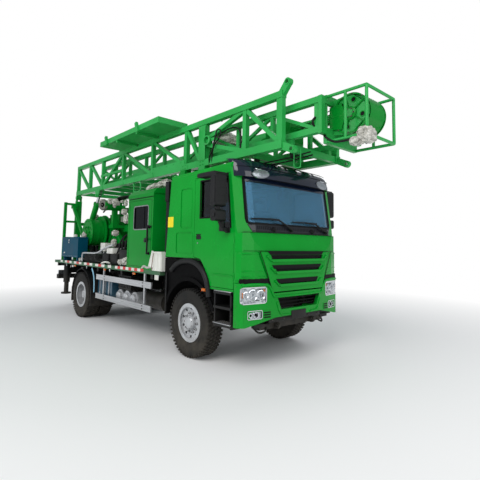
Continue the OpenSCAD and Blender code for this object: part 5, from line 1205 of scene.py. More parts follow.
# %% Deck edge stripe, markers and tie rings
DECK_EDGE_Y = -1.245
STRIPE_LOW, STRIPE_TOP = 1.266, 1.322
# Each stretch: from, to, length of one block, whether its red has worn off here and there
stretches = ((-6.030, -2.750, 0.170, True), (-2.610, -1.390, 0.122, False))
white = bmesh.new()
red = bmesh.new()
worn = bmesh.new()
for start, end, length, faded in stretches:
    for index in range(int((end - start) / length)):
        x = start + index * length
        target = white if index % 2 == 0 else (worn if faded and index % 4 == 1 else red)
        slab(target, (x, DECK_EDGE_Y - 0.0015, STRIPE_LOW),
             (x + length - 0.002, DECK_EDGE_Y + 0.0015, STRIPE_TOP))
piece("stripe_white", white, "white_enamel", both=True)
piece("stripe_red", red, "warning_red", both=True)
piece("stripe_worn", worn, "deck_enamel", both=True)
bm = bmesh.new()
for x in (-4.95, -3.15, -1.78):
    slab(bm, (x - 0.05, -1.244, 1.190), (x + 0.05, -1.228, 1.235), 0.006)
piece("side_markers", bm, "amber_lens", both=True)
bm = bmesh.new()
for side in (-1, 1):
    for x in (-5.6, -4.2, -2.9, -0.9):
        lathe(bm, [(0.040, -0.008), (0.048, 0.0), (0.040, 0.008), (0.032, 0.0), (0.040, -0.008)],
              at(x, side * 1.226, 1.222), (0.3, 1, 0), 20)
        slab(bm, (x - 0.02, side * 1.222 - 0.010, 1.248), (x + 0.02, side * 1.222 + 0.010, 1.262), 0.002)
piece("tie_rings", bm, "brushed_alloy")
bm = bmesh.new()
slab(bm, (-0.99, -1.244, 1.15), (-0.86, -1.232, 1.24), 0.006)
slab(bm, (-5.15, -1.244, 1.175), (-5.05, -1.234, 1.220), 0.006)
piece("pale_side_lamps", bm, "white_fitting")
print("deck edge dressed")

# %% [markdown]
# ## Drawworks
# The drum's near disc carries a ring of nuts and a hub, and raised bands run round its cover. Between the
# drum and the cabin lies a thicket of pipes, cylinders and valves, each wrapped in white film for delivery.

# %% Drum, its nuts and bands
drum_low, drum_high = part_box("drum")
drum_shaft = Vector(((drum_low[0] + drum_high[0]) / 2, 0, (drum_low[2] + drum_high[2]) / 2))


def round_shaft(shaft, y, radius=0.0, angle=0.0):
    """A point at a radius and an angle in degrees from a shaft across the rig."""
    turn = math.radians(angle)
    return Vector((shaft.x + radius * math.cos(turn), y, shaft.z + radius * math.sin(turn)))


bm = bmesh.new()
for y, steps, profile in (
        (-0.902, 72, ((0.356, 0.0), (0.362, 0.006), (0.362, 0.022), (0.352, 0.030), (0.318, 0.030),
                      (0.310, 0.022))),
        (-0.930, 40, ((0.118, 0.0), (0.118, 0.010), (0.098, 0.022), (0.075, 0.024), (0.0, 0.026)))):
    lathe(bm, profile, round_shaft(drum_shaft, y), RIGHT, steps)
for y in (-0.63, -0.74, -0.85):
    lathe(bm, [(0.339, -0.010), (0.348, -0.006), (0.348, 0.006), (0.339, 0.010)], round_shaft(drum_shaft, y),
          RIGHT, 72)
for angle in (30, 150, 270):
    rib(bm, round_shaft(drum_shaft, -0.936, 0.20, angle), (0.055, 0.004, 0.010), angle)
piece("drum_rings", bm, "rig_enamel")
nuts = bmesh.new()
for k in range(12):
    bolt(nuts, round_shaft(drum_shaft, -0.932, 0.300, 30 * k + 15), RIGHT, 0.020, 0.014)
for k in range(6):
    bolt(nuts, round_shaft(drum_shaft, -0.954, 0.075, 60 * k), RIGHT, 0.018, 0.014)
    bolt(nuts, round_shaft(drum_shaft, -0.951, 0.150, -60 * k), RIGHT, 0.026, 0.016)
piece("drum_nuts", nuts, "rig_enamel")
print("drum dressed")

# %% Chain case ribs, sheet edges and box panels
BOX_NOSE = -4.452
bm = bmesh.new()
for radius in (0.400, 0.455):
    lathe(bm, [(radius - 0.014, 0.0), (radius - 0.014, 0.022), (radius, 0.024), (radius, 0.0)],
          round_shaft(drum_shaft, -0.476), RIGHT, 72)
bar(bm, at(-4.56, -0.500, 2.40), at(-3.72, -0.500, 1.60), 0.018, 10)
bar(bm, at(-4.40, -0.505, 2.02), at(-3.95, -0.505, 1.52), 0.014, 10)
for k in range(10):
    angle = -60 + k * 27
    rib(bm, round_shaft(drum_shaft, -0.484, 0.428, angle), (0.022, 0.010, 0.006), angle)
piece("chain_case_ribs", bm, "rig_enamel")
bm = bmesh.new()
for z in (2.548, 1.345):
    slab(bm, (-5.005, -0.352, z), (-4.455, -0.340, z + 0.018), 0.003)
for y in (-0.335, 0.785):
    slab(bm, (BOX_NOSE, y - 0.006, 1.32), (BOX_NOSE + 0.012, y + 0.006, 2.555), 0.002)
slab(bm, (BOX_NOSE, -0.30, 2.555), (BOX_NOSE + 0.012, 0.75, 2.572), 0.002)
piece("power_box_edges", bm, "rig_enamel")
bm = bmesh.new()
slab(bm, (-4.432, -0.30, 2.36), (-4.428, -0.16, 2.50), 0.001)
piece("blank_white_plate", bm, "white_enamel")
bm = bmesh.new()
for k in range(6):
    for y in (-0.31, 0.76):
        bolt(bm, at(-4.438, y, 1.42 + k * 0.21), (1, 0, 0), 0.012, 0.008)
piece("power_box_bolts", bm, "cast_iron")
print("chain case and box dressed")

# %% Engine's side: pipes, covers and cooler louvres
bm = bmesh.new()
for k in range(5):
    x = -3.85 + k * 0.27
    pipe(bm, ((x, -0.28, 2.05), (x + 0.03, -0.36, 2.20), (x - 0.02, -0.26, 2.34), (x + 0.05, -0.05, 2.36)),
         0.026)
pipe(bm, ((-4.05, -0.46, 2.55), (-3.6, -0.52, 2.62), (-3.1, -0.50, 2.52), (-2.6, -0.42, 2.40),
          (-2.45, -0.40, 2.20)),
     0.038, 12)
piece("engine_pipes", bm, "frame_black")
bm = bmesh.new()
for k in range(7):
    slab(bm, (-3.80 + k * 0.17, -0.275, 1.42), (-3.71 + k * 0.17, -0.262, 2.00), 0.006)
for k in range(4):
    lathe(bm, [(0.0, 0.0), (0.055, 0.0), (0.055, 0.05), (0.030, 0.06), (0.0, 0.06)],
          at(-3.70 + k * 0.34, -0.270, 1.62), RIGHT, 24)
piece("engine_side", bm, "cast_iron")
bm = bmesh.new()
for k in range(16):
    z = 1.42 + k * 0.060
    slab(bm, (-2.47, -0.338, z), (-2.17, -0.328, z + 0.030), 0.002)
piece("cooler_louvres", bm, "grained_black")
print("engine's side dressed")

# %% Hydraulic pipes stacked behind the drum, and the pumps they come from
DECK_TOP = 1.325
# The black pipes and pump blocks are also painted shade: a dark mass that fills the shaded gap between drum
# and deck
bm = bmesh.new()
for k in range(9):
    z = 1.375 + 0.058 * k
    pipe(bm, ((-5.35, -0.44, z), (-4.70, -0.40 - 0.02 * (k % 3), z + 0.015), (-4.00, -0.42, z - 0.010),
              (-3.30, -0.40 - 0.02 * (k % 2), z + 0.010), (-2.45, -0.42, z)), 0.029, per_span=4)
for x, wide, top in ((-5.74, 0.80, 1.80), (-5.15, 0.16, 1.72), (-4.30, 0.24, 1.66), (-3.86, 0.14, 1.80),
                     (-3.38, 0.26, 1.70), (-2.80, 0.20, 1.84)):
    slab(bm, (x - wide / 2, -0.62, DECK_TOP), (x + wide / 2, -0.46, top), 0.014)
    lathe(bm, [(0.0, 0.0), (0.055, 0.0), (0.055, 0.04), (0.030, 0.055), (0.0, 0.055)],
          at(x, -0.62, (DECK_TOP + top) / 2), RIGHT, 24)
piece("deck_pumps_and_shade_fill", bm, "frame_black")
print("pumps and pipes behind the drum")

# %% The frame of pipes on the deck's right edge, and what stands in it
RAIL_Y, INNER_RAIL_Y = -1.150, -0.72
bm = bmesh.new()
for y in (RAIL_Y, INNER_RAIL_Y):
    pipe(bm, [(x, y, z) for x, z in ((-4.72, 1.335), (-4.71, 1.50), (-4.60, 1.545), (-3.90, 1.555),
                                     (-3.66, 1.60), (-3.46, 1.66), (-3.20, 1.72), (-2.95, 1.76))],
         0.021, per_span=4)
for x in (-4.60, -4.10):
    bar(bm, at(x, RAIL_Y, 1.545), at(x, INNER_RAIL_Y, 1.545), 0.016, 10)
piece("deck_pipe_frame", bm, "wheel_silver")
bm = bmesh.new()
slab(bm, (-4.66, -1.13, DECK_TOP), (-3.78, -0.76, 1.515), 0.012)
for k in range(11):
    slab(bm, (-4.62 + k * 0.078, -1.138, 1.345), (-4.585 + k * 0.078, -1.126, 1.495), 0.003)
pipe(bm, ((-3.86, RAIL_Y - 0.01, 1.54), (-3.80, RAIL_Y - 0.03, 1.44), (-3.66, RAIL_Y - 0.03, 1.37),
          (-3.45, RAIL_Y - 0.02, 1.38), (-3.30, RAIL_Y, 1.36)), 0.020)
for k in range(4):
    pipe(bm, ((-4.66, -1.10 + k * 0.085, 1.42), (-4.2, -1.08 + k * 0.08, 1.39 + 0.01 * k),
              (-3.7, -1.10 + k * 0.085, 1.41), (-3.2, -1.06 + k * 0.075, 1.37)), 0.027, per_span=5)
for x in (-3.42, -2.98):
    slab(bm, (x - 0.17, -1.12, 1.322), (x + 0.17, -0.74, 1.560), 0.020)
slab(bm, (-2.76, -1.10, 1.322), (-2.32, -0.72, 1.66), 0.020)
piece("deck_boxes", bm, "frame_black")
bm = bmesh.new()
for k in range(6):
    pipe(bm, ((-3.75 + k * 0.16, -1.06, 1.56), (-3.72 + k * 0.16, -0.98, 1.70 + 0.03 * (k % 3)),
              (-3.70 + k * 0.15, -0.80, 1.74), (-3.72 + k * 0.14, -0.56, 1.60)), 0.017, 8)
for k in range(4):
    pipe(bm, ((-2.90 + k * 0.14, -1.04, 1.60), (-2.88 + k * 0.13, -1.00, 1.86 + 0.05 * (k % 2)),
              (-2.86 + k * 0.12, -0.82, 2.00), (-2.90 + k * 0.10, -0.46, 1.90)), 0.019, 8)
piece("deck_hoses", bm, "hose_rubber")
print("deck's right edge dressed")

# %% [markdown]
# ## Things wrapped for delivery
# Valves, pipe ends and the cylinder in the mast are tied up in white film. Each bundle starts as a ball, is
# stretched to its size, and gets creases from noise: sharp folds come from taking the noise's absolute
# value.

# %% Crumpled film
random.seed(7)


def bundle(bm, low, high, folds=0.16, subdivisions=4, lean=0):
    """A ball stretched between two corners and leaned by degrees, creased like film pulled tight."""
    low, high = at(*low), at(*high)
    middle, half = (low + high) / 2, (high - low) / 2
    turn = Matrix.Rotation(math.radians(lean), 3, "Y")
    seed = Vector((random.uniform(0, 50), random.uniform(0, 50), random.uniform(0, 50)))
    made = bmesh.ops.create_icosphere(bm, subdivisions=subdivisions, radius=1.0)
    for v in made["verts"]:
        p = v.co.copy()
        # A ball pulled towards a box fills its corners as a wrapped fitting does
        boxy = Vector([math.copysign(abs(c) ** 0.72, c) for c in p])
        broad, fine = [abs(cloud_noise.noise(p * scale + seed)) for scale in (2.1, 5.3)]
        fold = 1 - broad * 2.2 * folds - fine * folds
        v.co = middle + turn @ Vector([b * h * fold for b, h in zip(boxy, half)])


print("film is ready to wrap")

# %% Bundles on the deck and under the mast
bm = bmesh.new()
deck_bundles = (
    ((-4.62, -0.86, 2.66), (-4.42, -0.66, 2.80)),
    ((-4.46, -0.92, 2.80), (-4.30, -0.74, 2.92)),
    ((-4.12, -0.84, 2.76), (-4.00, -0.70, 2.92)),
    ((-3.86, -0.84, 2.70), (-3.74, -0.68, 2.90)),
    ((-5.24, -1.02, 1.86), (-5.04, -0.95, 2.10)),
    ((-5.12, -1.03, 1.93), (-4.98, -0.95, 2.05)),
    ((-3.27, -1.09, 1.95), (-3.09, -0.93, 2.10)),
    ((-3.29, -1.08, 1.70), (-3.15, -0.95, 1.90)),
    ((-2.96, -1.02, 2.42), (-2.82, -0.88, 2.58)),
    ((-2.90, -1.00, 2.22), (-2.74, -0.86, 2.44)),
    ((-2.70, -1.20, DECK_TOP), (-2.46, -1.00, 1.47)),
    ((-2.52, -1.19, DECK_TOP), (-2.26, -1.00, 1.52)),
    ((-5.02, -1.20, DECK_TOP), (-4.74, -1.06, 1.43)),
    ((-2.38, -0.94, 1.60), (-2.24, -0.80, 1.76)),
    ((-5.50, -0.60, 2.34), (-5.38, -0.48, 2.60)),
)
for low, high in deck_bundles:
    bundle(bm, low, high, 0.26)
for k in range(5):
    x = -4.02 + k * 0.21
    bundle(bm, (x, -0.74, 2.66 + 0.05 * (k % 3)), (x + 0.055, -0.64, 2.84), 0.3, 3)
piece("deck_film", bm, "film_wrap", smooth=50)
print(len(deck_bundles) + 5, "film bundles on the deck")

# %% White boxes, the air cleaner's end and a coiled hose
bm = bmesh.new()
slab(bm, (-3.78, -1.09, 1.60), (-3.53, -0.93, 1.80), 0.012)
slab(bm, (-3.33, -1.13, 1.56), (-3.02, -0.94, 1.69), 0.012)
for x in (-3.31, -3.21, -3.11):
    slab(bm, (x, -1.134, 1.575), (x + 0.075, -1.126, 1.675), 0.004)
slab(bm, (-3.73, -1.098, 1.65), (-3.58, -1.088, 1.76), 0.006)
piece("wrapped_boxes", bm, "white_fitting")
bm = bmesh.new()
for steps, profile in ((48, ((0.130, -0.04), (0.130, 0.020), (0.120, 0.036), (0.108, 0.040), (0.0, 0.040))),
                       (48, ((0.130, 0.0), (0.137, 0.006), (0.130, 0.012))),
                       (20, ((0.0, 0.040), (0.018, 0.040), (0.016, 0.056), (0.0, 0.058)))):
    lathe(bm, profile, at(-4.250, -0.862, 2.748), (0.45, -0.89, 0), steps)
piece("air_cleaner_end", bm, "air_filter_grey")
bm = bmesh.new()
ring_turns = [math.tau * k / 28 for k in range(28)]
tube(bm, [at(-3.30 + 0.16 * math.cos(turn), -1.14 - 0.08 * math.sin(turn), 1.355 + 0.02 * math.sin(2 * turn))
          for turn in ring_turns], 0.022, 8)
piece("hose_ring", bm, "white_fitting")
print("boxes and air cleaner")

# %% Pipes under the mast above the cabin, and their film
bm = bmesh.new()
pipe(bm, ((-2.60, -0.62, 2.90), (-2.20, -0.66, 2.96), (-1.80, -0.66, 3.00), (-1.35, -0.62, 3.02)), 0.030, 12)
pipe(bm, ((-2.70, -0.52, 2.84), (-2.10, -0.54, 2.90), (-1.50, -0.52, 2.97), (-1.10, -0.50, 3.00)), 0.024, 12)
for k in range(4):
    pipe(bm, ((-4.9 + 0.2 * k, -0.58, 2.62 + 0.05 * k), (-4.2, -0.60 + 0.05 * k, 2.90),
              (-3.4, -0.58 + 0.05 * k, 2.94), (-2.7, -0.56 + 0.05 * k, 2.90 - 0.03 * k)), 0.020)
piece("pipes_over_deck", bm, "hose_rubber")
bm = bmesh.new()
bundle(bm, (-2.34, -0.80, 2.93), (-1.86, -0.60, 3.06), 0.20, lean=-9)
bundle(bm, (-1.94, -0.80, 2.96), (-1.46, -0.60, 3.10), 0.26, lean=-12)
bundle(bm, (-1.60, -0.80, 2.92), (-1.42, -0.62, 3.08), 0.24, 3)
piece("pipe_film", bm, "film_wrap", smooth=50)
print("pipes above the cabin")

# %% Film on the mast: the wrapped cylinder and the bundle on the cage
bm = bmesh.new()
bundle(bm, (-0.52, -0.44, 3.60), (0.06, -0.14, 3.90), 0.10, lean=14)
bundle(bm, (-0.10, -0.40, 3.56), (0.34, -0.12, 3.76), 0.16, lean=10)
piece("wrapped_cylinder", bm, "film_wrap", "mast", smooth=50)
bm = bmesh.new()
bundle(bm, (2.55, -0.48, 3.13), (2.770, -0.14, 3.37), 0.20)
bundle(bm, (2.45, -0.46, 3.11), (2.65, -0.28, 3.24), 0.20)
piece("cage_film", bm, "film_wrap", "mast_upper", smooth=50)
print("film on the mast")

# %% [markdown]
# ## The mast's hardware
# A lattice looks bare until its joints have plates, weld beads, pins and bolts. Hoses loop round the portal
# post and hang under the crown, and two long lines run below the chords to it.

# %% Gussets and weld beads of the lower section
CHORD_Z, TOP_Z, MAST_Y = 3.250, 4.000, -0.690
post_x = (-6.50, -5.60, -4.75, -3.55, -2.15, -0.88, -0.33, 0.76, 1.51)
beads = bmesh.new()
for x in post_x:
    for y in (MAST_Y - 0.0405, MAST_Y + 0.0405):
        for edge_x in (x - 0.041, x + 0.041):
            bar(beads, at(edge_x, y, CHORD_Z + 0.060), at(edge_x, y, CHORD_Z + 0.105), 0.0045, 6)
        for z in (CHORD_Z + 0.0615, TOP_Z - 0.0515):
            bar(beads, at(x - 0.040, y, z), at(x + 0.040, y, z), 0.0050, 6)
plates = bmesh.new()
for x in (-0.88, -2.15, -3.55, -4.75):
    plate(plates, upright(((x - 0.13, CHORD_Z - 0.045), (x + 0.13, CHORD_Z - 0.045),
                           (x + 0.09, CHORD_Z + 0.050), (x - 0.09, CHORD_Z + 0.050)), MAST_Y - 0.0605),
          0.006)
piece("mast_gussets", plates, "mast_enamel", "mast", both=True)
piece("mast_welds", beads, "mast_enamel", "mast", both=True)
print("weld beads at", len(post_x), "posts a side")

# %% Pins and bolts of the lower section
bm = bmesh.new()
for x, z, angle in ((1.560, CHORD_Z - 0.020, -24), (1.530, TOP_Z + 0.010, 50)):
    hook_end = round_shaft(at(x, 0, z), MAST_Y - 0.036, 0.190, angle)
    lathe(bm, [(0.030, 0.0), (0.044, 0.0), (0.044, 0.010), (0.030, 0.010), (0.030, 0.0)], hook_end, RIGHT,
          28)
for x, proud, z, r in ((-6.45, 0.071, 3.120, 0.052), (-4.95, 0.086, 3.060, 0.030)):
    lathe(bm, [(0.0, 0.0), (r, 0.0), (r, 0.010), (r * 0.6, 0.016), (0.0, 0.016)], at(x, MAST_Y - proud, z),
          RIGHT, 28)
piece("mast_pin_rings", bm, "mast_enamel", "mast", both=True)
bm = bmesh.new()
for x in (-0.37, -0.29, -0.92, -0.84):
    for z in (CHORD_Z - 0.03, CHORD_Z + 0.03):
        bolt(bm, at(x, MAST_Y - 0.061, z), RIGHT, 0.018, 0.012)
for k in range(5):
    bolt(bm, at(-2.05 + k * 0.26, MAST_Y - 0.053, CHORD_Z + 0.115), RIGHT, 0.014, 0.010)
piece("mast_bolts", bm, "mast_enamel", "mast", both=True)
print("mast joints dressed")

# %% Portal sleeve, hooks and the small supports
bm = bmesh.new()
lathe(bm, [(0.050, 0.0), (0.086, 0.004), (0.086, 0.050), (0.060, 0.060), (0.060, 0.004)],
      at(-0.15, -0.735, 3.63), RIGHT, 32)
slab(bm, (-0.24, -0.752, 3.60), (0.02, -0.730, 3.66), 0.008)
slab(bm, (-0.43, -0.756, 3.30), (-0.23, -0.750, 3.93), 0.002)
piece("portal_sleeve", bm, "mast_enamel", "mast")
bm = bmesh.new()
tube(bm, smooth_path(upright(((-2.98, 3.19), (-2.98, 3.02), (-2.92, 2.97), (-2.72, 2.97), (-2.66, 3.02),
                              (-2.66, 3.19)), -0.70), 4), 0.018, 8)
piece("cable_support", bm, "mast_enamel", "mast")
bm = bmesh.new()
tube(bm, smooth_path(upright(((1.60, 3.20), (1.60, 2.97), (1.625, 2.935), (1.695, 2.925), (1.72, 2.96),
                              (1.72, 3.20)), -0.50), 4), 0.009, 8)
piece("hook_loop", bm, "mast_enamel", "mast")
print("mast supports")

# %% Weld beads and header bolts of the upper section
upper_low_corner, upper_high_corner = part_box("mast_upper")
UPPER_Y = upper_high_corner[1] - 0.045
UPPER_LOW, UPPER_TOP = upper_low_corner[2] + 0.045, upper_high_corner[2] - 0.045
bm = bmesh.new()
for x in (-5.25, -4.45, -3.65, -2.85, -2.05, -1.25, -0.45, 0.35, 1.15, 1.995):
    for y in (-UPPER_Y - 0.033, UPPER_Y + 0.033):
        for z in (UPPER_LOW + 0.046, UPPER_TOP - 0.046):
            bar(bm, at(x - 0.034, y, z), at(x + 0.034, y, z), 0.004, 6)
for y in (-0.40, -0.20, 0.0, 0.20, 0.40):
    for z in (UPPER_LOW, UPPER_TOP):
        bolt(bm, at(2.101, y, z), (1, 0, 0), 0.016, 0.011)
piece("upper_welds", bm, "mast_enamel", "mast_upper")
print("upper section between", round(UPPER_LOW, 3), "and", round(UPPER_TOP, 3))

# %% [markdown]
# ## Crown block
# The side plates of the crown have a raised rim, stiffening ribs, a hub cover and round inspection holes.
# The sheaves behind them are covered by a curved sheet.

# %% Crown plates
SHEAVE_R = 0.260
CROWN_Y = -0.2205
crown_shaft = at(2.370, 0, (UPPER_LOW + UPPER_TOP) / 2)
bm = bmesh.new()
holes = bmesh.new()
hub = round_shaft(crown_shaft, CROWN_Y)
lathe(bm, [(0.0, 0.0), (0.095, 0.0), (0.095, 0.018), (0.080, 0.030), (0.0, 0.034)], hub, RIGHT, 40)
lathe(bm, [(0.262, 0.0), (0.285, 0.0), (0.285, 0.016), (0.262, 0.016), (0.262, 0.0)], hub, RIGHT, 72)
for k in range(5):
    angle = 36 + 72 * k
    rib(bm, round_shaft(crown_shaft, CROWN_Y - 0.010, 0.175, angle), (0.085, 0.012, 0.008), angle)
for angle in (75, 345, 255, 135):
    bar(holes, round_shaft(crown_shaft, CROWN_Y + 0.002, 0.190, angle),
        round_shaft(crown_shaft, CROWN_Y - 0.003, 0.190, angle), 0.030, 24)
    lathe(bm, [(0.030, 0.0), (0.040, 0.0), (0.040, 0.008), (0.030, 0.008), (0.030, 0.0)],
          round_shaft(crown_shaft, CROWN_Y, 0.190, angle), RIGHT, 24)
# The arm that carries the shaft from the end post, with a rib along it
arm = ((2.060, 3.455), (2.240, 3.420), (2.300, 3.630), (2.240, 3.800), (2.060, 3.775))
plate(bm, upright(arm, CROWN_Y - 0.016), 0.012)
slab(bm, (2.060, CROWN_Y - 0.030, 3.612), (2.280, CROWN_Y - 0.002, 3.630), 0.004)
slab(bm, (2.045, CROWN_Y - 0.030, 3.450), (2.066, CROWN_Y + 0.030, 3.780), 0.004)
piece("crown_ribs", bm, "rig_enamel", "mast_upper", both=True)
piece("crown_holes", holes, "seal_rubber", "mast_upper", both=True)
print("crown's cheeks at height", round(crown_shaft.z, 3))

# %% Sheave cover, bolts and lines at the crown
bm = bmesh.new()
skin(bm, [[round_shaft(crown_shaft, y, SHEAVE_R + lift, -100 + 10 * k)
           for y, lift in ((-0.186, 0.020), (0.186, 0.020), (0.186, 0.026), (-0.186, 0.026))]
          for k in range(21)])
piece("sheave_cover", bm, "rig_enamel", "mast_upper")
bm = bmesh.new()
for k in range(6):
    bolt(bm, round_shaft(crown_shaft, -0.2545, 0.060, 60 * k), RIGHT, 0.015, 0.010)
for k in range(10):
    bolt(bm, round_shaft(crown_shaft, -0.236, 0.273, 36 * k + 12), RIGHT, 0.014, 0.010)
piece("crown_bolts", bm, "cast_iron", "mast_upper")
bm = bmesh.new()
for k in range(6):
    y = -0.125 + 0.05 * k
    bar(bm, at(1.42, y, 3.640 + 0.010 * (k % 2)), at(2.25, y, 3.868 - 0.055 * (k % 3)), 0.0075, 8)
piece("crown_lines", bm, "hose_rubber", "mast_upper")
print("crown dressed")

# %% Hoses and lines on the mast
bm = bmesh.new()
pipe(bm, ((-0.62, -0.60, 4.00), (-0.571, -0.62, 4.043), (-0.393, -0.62, 4.081), (-0.195, -0.62, 4.069),
          (-0.051, -0.60, 4.038), (0.02, -0.58, 3.98)), 0.017)
for y, drop in ((-0.45, 0.0), (-0.40, 0.035)):
    pipe(bm, ((-0.40, y, 3.150), (0.20, y, 3.125), (0.95, y, 3.110 - drop), (1.45, y, 3.110 - drop),
              (1.86, y, 3.135 - drop)), 0.011, 8)
for x in (-0.33, 0.76, 1.51):
    slab(bm, (x - 0.02, -0.47, 3.175), (x + 0.02, -0.38, 3.202), 0.003)
    slab(bm, (x - 0.012, -0.475, 3.095), (x + 0.012, -0.375, 3.20), 0.003)
piece("mast_lines", bm, "hose_rubber", "mast")
print("lines clipped under the mast")

# %% [markdown]
# ## Under the deck
# The blue tank has straps and a cap, three bright air tanks have welded ends, and a pale blue strip edges
# the rear wheel's guard. The axles get their U-bolts, brake chambers and air lines, seen from below and
# between the wheels.

# %% Tank straps, air tank ends and battery box
tank_x, TANK_R, TANK_Z = (-2.660, -2.340, -2.019), 0.1346, 0.690
bm = bmesh.new()
for x in (-3.53, -3.05):
    slab(bm, (x - 0.022, -1.1655, 0.562), (x + 0.022, -1.1595, 1.008), 0.001)
    bolt(bm, at(x, -1.166, 0.60), RIGHT, 0.020, 0.014)
piece("tank_straps", bm, "brushed_alloy", both=True)
bm = bmesh.new()
bar(bm, at(-3.38, -1.02, 1.010), at(-3.38, -1.02, 1.055), 0.055, 28, 0.050)
piece("tank_caps", bm, "grained_black", both=True)
bm = bmesh.new()
for x in tank_x:
    lathe(bm, [(0.0, 0.026), (0.045, 0.024), (0.085, 0.014), (0.092, 0.0), (0.0, 0.0)],
          at(x, -1.1205, TANK_Z), RIGHT, 36)
    lathe(bm, [(TANK_R, -0.004), (TANK_R + 0.003, 0.0), (TANK_R, 0.004)], at(x, -1.066, TANK_Z), RIGHT, 40)
    bar(bm, at(x, -1.140, TANK_Z), at(x, -1.160, TANK_Z), 0.012, 6)
piece("air_tank_ends", bm, "wheel_silver", both=True)
bm = bmesh.new()
slab(bm, (-2.62, -1.156, 1.100), (-2.05, -1.148, 1.136), 0.003)
for k in range(4):
    slab(bm, (-2.60, -1.158, 0.872 + k * 0.055), (-2.07, -1.150, 0.888 + k * 0.055), 0.003)
for x in tank_x:
    slab(bm, (x - 0.016, -1.10, 0.826), (x + 0.016, -0.58, 0.832), 0.001)
piece("battery_box_ribs", bm, "frame_black", both=True)
print("side tanks dressed")

# %% Pale blue strip, guard bolts and flaps
strips = bmesh.new()
flap = bmesh.new()
for side in (-1, 1):
    strip = [at(x, side * y, z) for x, y, z in ((-3.850, 1.236, 1.205), (-3.775, 1.237, 1.13),
                                                (-3.715, 1.238, 1.03), (-3.680, 1.238, 0.90),
                                                (-3.668, 1.238, 0.67))]
    ribbon(strips, strip, (0, side, 0), 0.046, 0.006)
    for one, two in zip(strip, strip[1:]):
        plate(flap, [one, two, Vector((two.x, side * 1.09, two.z)), Vector((one.x, side * 1.09, one.z))],
              0.004)
    slab(flap, (-3.868, side * 1.15 - 0.06, 0.67), (-3.660, side * 1.15 + 0.06, 0.676))
piece("guard_front_flap", flap, "grained_black")
piece("guard_blue_strip", strips, "sky_blue_strip")
bm = bmesh.new()
for x, way in ((-5.118, -1), (-3.862, 1)):
    for z in (0.56, 0.62):
        bolt(bm, at(x, -1.10, z), (way, 0, 0), 0.014)
for x in (-3.13, -1.41):
    for z in (0.585, 0.645, 1.005, 1.065):
        bolt(bm, at(x, -1.2455, z), RIGHT, 0.016, 0.008)
piece("guard_bolts", bm, "cast_iron", both=True)
bm = bmesh.new()
slab(bm, (-5.16, -1.20, 0.335), (-5.152, -0.76, 0.60), 0.003)
for z in (0.40, 0.46, 0.52):
    slab(bm, (-5.166, -1.16, z), (-5.158, -0.80, z + 0.010), 0.002)
piece("mud_flap_ribs", bm, "seal_rubber", both=True)
print("rear guards dressed")

# %% Axle hardware: U-bolts, brake chambers, shock absorbers and air lines
SPRING_Y = -0.43
ubolts = bmesh.new()
chambers = bmesh.new()
lines = bmesh.new()
for axle in (0.0, -WHEELBASE):
    for x in (axle - 0.09, axle + 0.09):
        for y in (SPRING_Y - 0.055, SPRING_Y + 0.055):
            bar(ubolts, at(x, y, 0.44), at(x, y, 0.80), 0.011, 10)
            bar(ubolts, at(x, y, 0.425), at(x, y, 0.445), 0.020, 6)
    lathe(chambers, [(0.0, 0.0), (0.070, 0.002), (0.082, 0.030), (0.088, 0.034), (0.088, 0.048),
                     (0.080, 0.052), (0.068, 0.110), (0.0, 0.120)],
          at(axle + 0.20, -0.46, 0.56), (1, 0, 0.15), 32)
    pipe(lines, ((axle + 0.30, -0.46, 0.60), (axle + 0.38, -0.44, 0.70), (axle + 0.30, -0.42, 0.86),
                 (axle + 0.10, -0.40, 0.92)), 0.010, 8)
    bar(chambers, at(axle - 0.30, -0.50, 0.50), at(axle - 0.38, -0.47, 0.72), 0.026, 14)
    bar(chambers, at(axle - 0.38, -0.47, 0.72), at(axle - 0.42, -0.46, 0.90), 0.038, 16)
pipe(lines, ((-0.9, -0.36, 1.04), (-1.8, -0.37, 1.05), (-2.9, -0.36, 1.04), (-4.2, -0.37, 1.05),
             (-5.6, -0.36, 1.04)),
     0.012, 8, 3)
pipe(lines, ((-0.9, -0.34, 1.00), (-1.8, -0.34, 0.99), (-2.9, -0.35, 1.00), (-4.2, -0.34, 0.99),
             (-5.6, -0.34, 1.00)),
     0.009, 8, 3)
piece("u_bolts", ubolts, "cast_iron", both=True)
piece("brake_chambers", chambers, "frame_black", both=True)
piece("air_lines", lines, "hose_rubber", both=True)
print("axles dressed")

# %% Frame rivets and tail lamps
RAIL_FACE_Y = -0.431
bm = bmesh.new()
for k in range(26):
    x = -5.9 + k * 0.215
    bolt(bm, at(x, RAIL_FACE_Y, 0.98), RIGHT, 0.016, 0.009)
    bolt(bm, at(x + 0.05, RAIL_FACE_Y, 0.86), RIGHT, 0.016, 0.009)
piece("frame_rivets", bm, "cast_iron", both=True)
TAIL_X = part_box("deck")[0][0]
for name, finish_name, back, front, y, half, low, top, edge in (
        ("tail_lamp_boxes", "grained_black", -0.012, 0.030, -0.80, 0.18, 1.150, 1.262, 0.008),
        ("tail_lamps_red", "red_lens", -0.022, -0.010, -0.74, 0.08, 1.165, 1.248, 0.006),
        ("tail_lamps_amber", "amber_lens", -0.022, -0.010, -0.90, 0.06, 1.165, 1.248, 0.006)):
    bm = bmesh.new()
    block(bm, (TAIL_X + back, y - half, low), (TAIL_X + front, y + half, top), edge)
    piece(name, bm, finish_name, both=True)
print("tail dressed")

# %% [markdown]
# ## Floor, light and sky
# A studio floor is a plane that takes the shadow and is otherwise the colour of the backdrop. Camera rays
# see the world at full white, while the lamps and a dimmer world light the rig, so the paint keeps its own
# colour.

